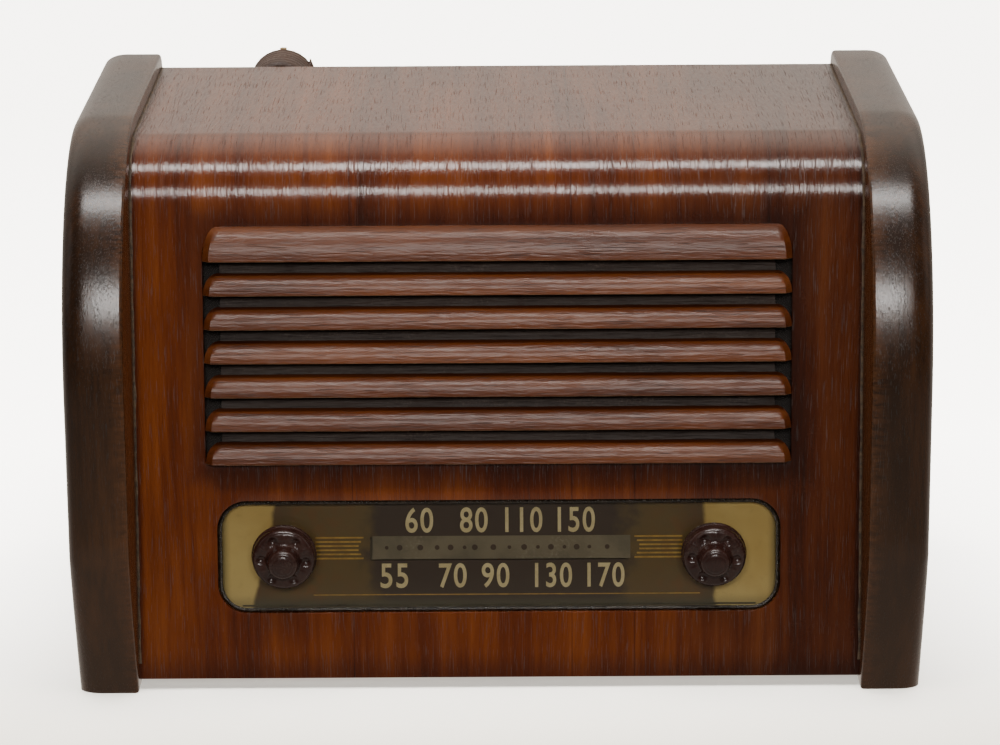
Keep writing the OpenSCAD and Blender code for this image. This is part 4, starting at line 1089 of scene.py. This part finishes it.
@dataclass
class Grille:
    """Seven louvres in the upper opening, with dark cloth behind."""

    finishes: Finishes
    place: Place
    half: float = 113.6
    low: float = 86.0
    pitch: float = 13.2
    count: int = 7
    height: float = 8.3
    hood: float = 13.2
    out: float = 6.5
    facet: float = 2.4
    round_end: float = 5.5
    tongue: float = 107.5
    tongue_depth: float = 6.2
    cloth: tuple = (236.0, 100.4, 82.0, 6.5, 7.0)

    def build(self) -> None:
        """Makes the louvres and the cloth."""
        for n in range(self.count):
            self._louver(n)
        self._cloth()

    def _section(self, n: int) -> list[tuple[float, float]]:
        """A bar's section as (depth, up) from its lower back corner: a flat facet, rounded over above."""
        height = self.hood if n == self.count - 1 else self.height
        points = [(0.3, 0.0), (-self.out, 0.0), (-self.out, 0.45), (-self.out, self.facet)]
        for i in range(1, 15):
            turn = math.radians(90 * i / 14)
            points.append((-self.out * math.cos(turn) + 0.3 * math.sin(turn),
                           self.facet + (height - self.facet) * math.sin(turn)))
        return points

    def _louver(self, n: int) -> None:
        """One bar, whose ends are rounded down from above and drawn back a little, and its tongue."""
        base = self.low + self.pitch * n
        section = self._section(n)
        height = section[-1][1]
        turns = [math.radians(15 * i) for i in range(7)]
        ends = [(2.6 * math.sin(turn), 1 - math.cos(math.pi / 2 - turn)) for turn in turns]
        places = [(-self.half + 2.6 - reach, tuck) for reach, tuck in reversed(ends)]
        places += [(-self.half + 4 + i * (2 * self.half - 8) / 48, 0.0) for i in range(49)]
        places += [(self.half - 2.6 + reach, tuck) for reach, tuck in ends]
        mesh = bmesh.new()
        wear = mesh.verts.layers.float.new("wear")
        rows = []
        for x, tuck in places:
            row = []
            for k, (depth, up) in enumerate(section):
                pulled = depth * (1 - 0.55 * (1 - tuck)) if abs(x) > self.half - 2.7 and depth < 0 else depth
                shorter = self.round_end * (1 - math.sqrt(max(0.0, 1 - (up / height) ** 2))) / self.half
                sag = 0.06 * noise.noise(Vector((x * 0.05, n * 3.1, k * 0.2)))
                vert = mesh.verts.new(Vector((x * (1 - shorter), base + up + sag, pulled)) * MM)
                # The lower front arris is marked for the pale worn colour: partly wear, partly a painted
                # highlight.
                vert[wear] = float(k == 1)
                row.append(vert)
            rows.append(row)
        skin(mesh, rows)
        outward(mesh)
        bevel(mesh, 0.3 * MM, 2, lambda e: all(v[wear] > 0.9 for v in e.verts), angle=25)
        mesh.transform(self.place.frame)
        bar = finish_mesh(f"louver_bar_{n + 1}", mesh, self.finishes["louver_walnut"], Bodies.CABINET, 45)
        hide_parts(f"louver_{n + 1}")
        if n < self.count - 1:
            self._tongue(n, base)

    def _tongue(self, n: int, base: float) -> None:
        """The thin sloping board between one bar and the next."""
        top = base + self.pitch
        outline = [(0.25, base + 0.6), (0.25, base + self.height - 0.4), (self.tongue_depth - 1.2, top + 1.2),
                   (self.tongue_depth, top + 0.4), (self.tongue_depth, base + 3.0)]
        mesh = prism([Vector((-self.tongue, u, v)) * MM for v, u in outline],
                     Vector((2 * self.tongue * MM, 0, 0)))
        mesh.transform(self.place.frame)
        tongue = finish_mesh(f"louver_tongue_{n + 1}", mesh, self.finishes["tongue_walnut"], Bodies.CABINET)

    def _cloth(self) -> None:
        """The grille cloth as one thin stretched sheet."""
        width, tall, low, front, behind = self.cloth
        mesh = bmesh.new()
        layer = mesh.loops.layers.uv.new("UVMap")
        columns, lines = 60, 26
        depth = (front + behind) / 2
        across = [-width / 2 + width * i / columns for i in range(columns + 1)]
        grid = [[mesh.verts.new(Vector((x, low + tall * k / lines, depth)) * MM) for x in across]
                for k in range(lines + 1)]
        for k in range(lines):
            for i in range(columns):
                mesh.faces.new((grid[k][i], grid[k][i + 1], grid[k + 1][i + 1], grid[k + 1][i]))
        for face in mesh.faces:
            for loop in face.loops:
                loop[layer].uv = (loop.vert.co.x, loop.vert.co.y)
        mesh.transform(self.place.frame)
        cloth = finish_mesh("grille_cloth_sheet", mesh, self.finishes["grille_weave"], Bodies.CABINET)
        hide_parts("grille_cloth")


@dataclass
class Dial:
    """The glazed dial: printed face, scale band with dots, numerals, ornament lines, pointer and glass."""

    finishes: Finishes
    place: Place
    glass: tuple = (109.7, 26.4, 70.5, 11.2, 1.2, 4.2)
    ink_depth: float = 6.42
    ink_thick: float = 0.04
    band: tuple = (-49.6, 51.6, 46.1, 55.3)
    dot_up: float = 50.7
    dots: tuple = ((-44.1, 0.75), (-39.0, 1.15), (-30.9, 1.15), (-24.3, 0.95), (-19.0, 1.15), (-13.5, 0.75),
                   (-9.5, 1.15), (-2.2, 1.15), (4.1, 0.75), (9.9, 1.15), (15.3, 0.75), (20.4, 1.15),
                   (25.7, 0.75), (30.5, 1.15), (35.5, 0.75), (42.5, 0.95))
    upper: tuple = (("60", -31.2), ("80", -9.8), ("110", 9.8), ("150", 30.4))
    lower: tuple = (("55", -41.2), ("70", -18.2), ("90", -1.4), ("130", 21.4), ("170", 42.0))

    def build(self) -> None:
        """Makes the dial's pieces."""
        self._glass()
        self._band()
        self._lines()
        for rows, low, high in ((self.upper, 56.6, 66.7), (self.lower, 34.5, 44.4)):
            for text, x in rows:
                self._number(text, x, low, high)
        repaint(self.finishes, ["dial_face"], "dial_paint")
        repaint(self.finishes, ["scale_reflector"], "scale_paint")
        repaint(self.finishes, ["dial_pointer"], "pointer_paint")
        repaint(self.finishes, ["dial_clips", "idler_pins", "pointer_rail"], "plated_steel")
        repaint(self.finishes, ["dial_cord"], "waxed_cord")
        repaint(self.finishes, ["left_idler", "right_idler", "dial_drum"], "aged_brass")

    def _ink(self, name: str, mesh: bmesh.types.BMesh, finish: str) -> None:
        """Places a flat print just over the face."""
        mesh.transform(self.place.frame)
        piece = finish_mesh(name, mesh, self.finishes[finish], Bodies.CABINET)

    def _flat(self, left: float, right: float, low: float, high: float,
              thick: float = 0.04) -> bmesh.types.BMesh:
        """A flat oblong of paint on the dial's face."""
        return box((left, low, self.ink_depth - thick), (right, high, self.ink_depth))

    def _glass(self) -> None:
        """The pane with its bevelled front edge, and a thin dark olive strip seen through it at the foot:
        painted shade and the painted look of the pane's green edge.
        """
        half, low, high, radius, front, back = self.glass
        outline = [Vector((x, u, front)) * MM for x, u in rounded_outline(half, low, high, radius)]
        mesh = prism(outline, Vector((0, 0, (back - front) * MM)))
        bevel(mesh, 0.8 * MM, 3, lambda e: all(v.co.z < (front + 0.01) * MM for v in e.verts), angle=50)
        mesh.transform(self.place.frame)
        pane = finish_mesh("dial_pane", mesh, self.finishes["pane_glass"], Bodies.CABINET, 50)
        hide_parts("dial_glass")
        self._ring()
        # Painted glass edge: a thin dark olive strip behind the pane's foot stands in for the pane's green
        # edge and the dark line of shade along it.
        self._ink("pane_seal", self._flat(-101.0, 101.0, low + 1.0, low + 1.7, 0.05), "edge_seal")

    def _ring(self) -> None:
        """A dark glossy ring between the pane's edge and the wood, a little proud at its middle; its
        near-black colour is painted shade for the shaded gap there.
        """
        half, low, high, radius, front, _ = self.glass
        loops = []
        for inset, rise in ((-0.25, 0.9), (0.1, 0.15), (0.7, -0.25), (1.3, -0.02), (1.5, 0.7)):
            outline = rounded_outline(half - inset, low + inset, high - inset, radius - inset)
            loops.append([Vector((x, u, front + rise)) * MM for x, u in outline])
        mesh = bmesh.new()
        skin(mesh, [[mesh.verts.new(p) for p in loop] for loop in loops], capped=False)
        self._ink("pane_putty", mesh, "putty")

    def _band(self) -> None:
        """The scale band over the lit slot, and its dots."""
        left, right, low, high = self.band
        self._ink("scale_band", box((left, low, self.ink_depth), (right, high, self.ink_depth + 0.05)),
                  "scale_paint")
        for n, (x, r) in enumerate(self.dots):
            mesh = bmesh.new()
            spot = Matrix.Translation(Vector((x, self.dot_up, self.ink_depth - self.ink_thick)) * MM)
            bmesh.ops.create_cone(mesh, cap_ends=True, cap_tris=False, segments=20, radius1=r * MM,
                                  radius2=r * MM, depth=self.ink_thick * MM, matrix=spot)
            self._ink(f"scale_dot_{n + 1}", mesh, "dot_ink")

    def _lines(self) -> None:
        """Six fine lines on each side that step in to a point, and the long underline."""
        for side in Side:
            for n in range(6):
                u = 54.8 - 1.66 * n
                notch = 2.4 * (1 - abs(n - 2.5) / 2.5)
                outer, inner = 72.0, 53.2 + notch
                span = sorted((side.value * outer, side.value * inner))
                line = self._flat(*span, u - 0.33, u + 0.33)
                self._ink(f"{side.name.lower()}_line_{n + 1}", line, "gold_ink")
        self._ink("underline", self._flat(-73.0, 79.0, 31.7, 32.1), "gold_ink")

    def _number(self, text: str, x: float, low: float, high: float) -> None:
        """One cream dial number, narrow and round-ended, between two heights."""
        font = bpy.data.curves.new("number", "FONT")
        font.body = text
        font.align_x, font.align_y = "CENTER", "BOTTOM_BASELINE"
        font.size = 1.0
        font.space_character = 1.12
        font.offset = 0.014
        font.extrude = 0.01
        font.resolution_u = 6
        holder = linked("number", font)
        bpy.context.view_layer.update()
        data = bpy.data.meshes.new_from_object(holder.evaluated_get(bpy.context.evaluated_depsgraph_get()))
        bpy.data.objects.remove(holder)
        xs, ys = [v.co.x for v in data.vertices], [v.co.y for v in data.vertices]
        middle, floor, tall = (min(xs) + max(xs)) / 2, min(ys), max(ys) - min(ys)
        front = self.ink_depth - 0.05
        wide = 5.0 * len(text) + 0.9 * (len(text) - 1)
        if text.startswith("1"):
            wide -= 2.2
        for vert in data.vertices:
            vert.co = Vector((x + (vert.co.x - middle) * wide / (max(xs) - min(xs)),
                              low + (vert.co.y - floor) * (high - low) / tall, front - vert.co.z)) * MM
        data.transform(self.place.frame)
        data.materials.clear()
        data.materials.append(self.finishes["numeral_ink"])
        piece = place_mesh(f"number_{text}", data, Bodies.CABINET)


@dataclass
class Knob:
    """A moulded knob: a flat flange, a fluted body and a domed boss with a ring round its end."""

    finishes: Finishes
    place: Place
    across: float
    body: Bodies
    replaces: str
    up: float = 49.8
    seat: float = 5.275
    flange: float = 12.7
    radius: float = 12.25
    petals: int = 6
    turned: float = 57.0

    def build(self) -> None:
        """Makes the knob on its shaft's axis."""
        front = self.seat - 1.6
        profile = [(0.0, self.seat), (self.flange - 0.35, self.seat), (self.flange, self.seat - 0.35),
                   (self.flange, front + 0.35), (self.flange - 0.35, front), (self.radius, front - 0.15),
                   (self.radius, front - 2.6)]
        profile += rounding(self.radius - 2.4, front - 2.6, 2.4, 2.2, 10)
        profile += [(9.0, front - 4.95), (8.2, front - 5.0), (7.4, front - 4.95), (6.9, front - 5.1)]
        profile.append((6.55, front - 5.6))
        profile += [(6.45 - 0.35 * i / 5, front - 5.8 - 2.6 * i / 5) for i in range(6)]
        profile += rounding(4.0, front - 8.6, 2.05, 2.3, 10)
        profile += rounding(0.0, front - 10.9, 4.0, 0.75, 8)
        profile[-1] = (0.0, profile[-1][1])
        mesh = spin_profile(profile, 144)
        for vert in mesh.verts:
            self._press(vert, front)
        mesh.transform(Matrix.Translation(self.place.side(self.across, 0, self.up)))
        piece = finish_mesh(f"{self.replaces}_moulding", mesh, self.finishes["bakelite"], self.body, 50)
        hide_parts(self.replaces)

    def _press(self, vert: bmesh.types.BMVert, front: float) -> None:
        """Sinks the round finger dimples into the face, with a low ridge between each two."""
        x, y, z = vert.co / MM
        radius = math.hypot(x, z)
        if y > front - 1.2 or radius < 6.3:
            return
        turn = (math.degrees(math.atan2(z, x)) - self.turned) % (360 / self.petals)
        away = math.radians(min(turn, 360 / self.petals - turn)) * radius
        dimple = math.exp(-((away / 1.75) ** 2 + ((radius - 8.7) / 1.6) ** 2) ** 1.5)
        ridge = math.exp(-(((math.radians(180 / self.petals) * radius - away) / 0.8) ** 2)
                         - ((radius - 9.0) / 2.0) ** 2)
        vert.co.y += (1.35 * dimple - 0.3 * ridge) * MM


@dataclass
class Rear:
    """The ventilated back cover, its screws and the loop aerial inside it."""

    finishes: Finishes

    def build(self) -> None:
        """Gives the back's CAD pieces their finishes."""
        repaint(self.finishes, ["rear_cover", "loop_aerial"], "fibreboard")
        repaint(self.finishes, ["cover_screws"], "aged_brass")


@dataclass
class Interior:
    """The chassis, valves, tuning gang, loudspeaker and transformer behind the panel."""

    finishes: Finishes

    def build(self) -> None:
        """Gives the inner CAD pieces their finishes."""
        painted = {
            "plated_steel": ["chassis", "chassis_bolts", "gang_frame", "speaker_basket", "speaker_screws",
                             "tuning_bush", "volume_control", "tuning_shaft", "volume_shaft",
                             "speaker_magnet"],
            "bare_aluminium": ["coil_cans", "gang_rotor", "gang_stator", "filter_capacitor"],
            "lamination": ["output_transformer"],
            "black_bakelite": ["valve_sockets"],
            "cone_paper": ["speaker_cone"],
            "valve_glass": ["valve_1", "valve_2", "valve_3", "valve_4", "valve_5", "pilot_lamp"],
        }
        for finish, names in painted.items():
            repaint(self.finishes, names, finish)


@dataclass(frozen=True)
class Lamp:
    """One rectangular light: its spot, its aim, its size, its power and whether only the floor takes it."""

    name: str
    spot: tuple
    aim: tuple
    size: tuple
    power: float
    floor_only: bool = False
    colour: tuple = (1.0, 0.97, 0.94)


@dataclass
class Studio:
    """A pale sweep, two long lights in front and above, and a dim room with a brighter back."""

    wall: tuple = (0.86, 0.845, 0.81)
    front_floor_shade: tuple = (0.21, 0.192, 0.148)
    glow: float = 1.1
    room_front: float = 0.09
    room_back: float = 1.0
    overhead: float = 0.9
    lamps: tuple = (
        Lamp("upper_strip", (0.0, -0.61, 1.59), (0, -0.05, 0.2), (1.1, 0.20), 17.0),
        Lamp("lower_strip", (0.0, -1.98, 1.02), (0, -0.05, 0.2), (0.8, 0.30), 19.0),
        Lamp("left_box", (-1.3, -0.5, 0.7), (-0.15, 0, 0.12), (0.5, 0.7), 0.5),
        Lamp("right_box", (1.3, -0.5, 0.7), (0.15, 0, 0.12), (0.5, 0.7), 0.5),
        Lamp("floor_light", (0.0, -0.2, 2.6), (0, 0.1, 0.0), (2.6, 2.0), 600.0, True),
    )

    def build(self) -> None:
        """Makes the sweep, the room and the lights."""
        self._room()
        sweep = self._sweep()
        only = bpy.data.collections.new("sweep_only")
        only.objects.link(sweep)
        for lamp in self.lamps:
            light = self._light(lamp)
            if lamp.floor_only:
                light.light_linking.receiver_collection = only

    def _room(self) -> None:
        """A world that is brighter behind the radio than in front of it."""
        world = bpy.data.worlds.new("room")
        world.use_nodes = True
        tree = world.node_tree
        graph = Graph(tree)
        _, depth, height = graph.add("SeparateXYZ", {0: graph.add("TexCoord").outputs["Generated"]}).outputs
        level = graph.band(depth, -0.40, 0.50, self.room_front, self.room_back)
        floor = graph.band(height, 0.0, -0.35, 0.0, 0.35)
        high = graph.band(height, 0.40, 0.78, 0.0, self.overhead)
        overhead = graph.math("MULTIPLY", high, graph.band(depth, -0.20, 0.35))
        total = graph.math("ADD", graph.math("ADD", level, floor), overhead)
        background = tree.nodes["Background"]
        tree.links.new(total, background.inputs["Strength"])
        background.inputs["Color"].default_value = (1.0, 0.89, 0.78, 1)
        bpy.context.scene.world = world

    def _sweep(self) -> bpy.types.Object:
        """The floor that curves up into a wall. It glows a little, and doesn't light the radio."""
        painter = Painter("sweep_paper", Roughness=0.9, Emission_Strength=self.glow)
        graph = painter.graph
        # Painted shade: the floor darkens towards the front, in both its colour and its glow.
        near = graph.band(painter.split(painter.at)[1], 0.10, -0.22)
        tone = graph.mix(near, (*self.wall, 1), (*self.front_floor_shade, 1))
        painter.feed("Base Color", tone)
        painter.feed("Emission Color", tone)
        mesh = bmesh.new()
        points = [(-4.0, 0.0), (0.9, 0.0)]
        for i in range(1, 17):
            turn = math.radians(90 * i / 16)
            points.append((0.9 + 0.5 * math.sin(turn), 0.5 - 0.5 * math.cos(turn)))
        points.append((1.4, 3.5))
        rows = [[mesh.verts.new((x, y, z - 0.0001)) for x in (-4.0, 4.0)] for y, z in points]
        for (a, b), (c, d) in zip(rows, rows[1:]):
            mesh.faces.new((a, b, d, c))
        data = bpy.data.meshes.new("sweep")
        mesh.to_mesh(data)
        mesh.free()
        data.materials.append(painter.material)
        data.shade_smooth()
        sweep = linked("sweep", data)
        sweep.visible_diffuse = False
        sweep.visible_glossy = False
        return sweep

    def _light(self, lamp: Lamp) -> bpy.types.Object:
        """Makes one area light."""
        data = bpy.data.lights.new(lamp.name, "AREA")
        data.shape = "RECTANGLE"
        data.size, data.size_y = lamp.size
        data.energy = lamp.power
        data.color = lamp.colour
        holder = linked(lamp.name, data)
        spot, aim = Vector(lamp.spot), Vector(lamp.aim)
        turn = (aim - spot).to_track_quat("-Z", "Y").to_matrix().to_4x4()
        holder.matrix_world = Matrix.Translation(spot) @ turn
        return holder


def main() -> None:
    """Builds the radio's looks and the studio around it."""
    logging.basicConfig(level=logging.INFO)
    place = Place.read()
    finishes = Finishes(place.lean, place.foot * MM)
    Camera().build()
    PowerCord(finishes).build()
    Studio().build()
    Cabinet(finishes, place).build()
    Grille(finishes, place).build()
    Dial(finishes, place).build()
    Knob(finishes, place, 83.7, Bodies.TUNING, "tuning_knob").build()
    Knob(finishes, place, -83.7, Bodies.VOLUME, "volume_knob").build()
    Rear(finishes).build()
    Interior(finishes).build()


if __name__ == "__main__":
    main()
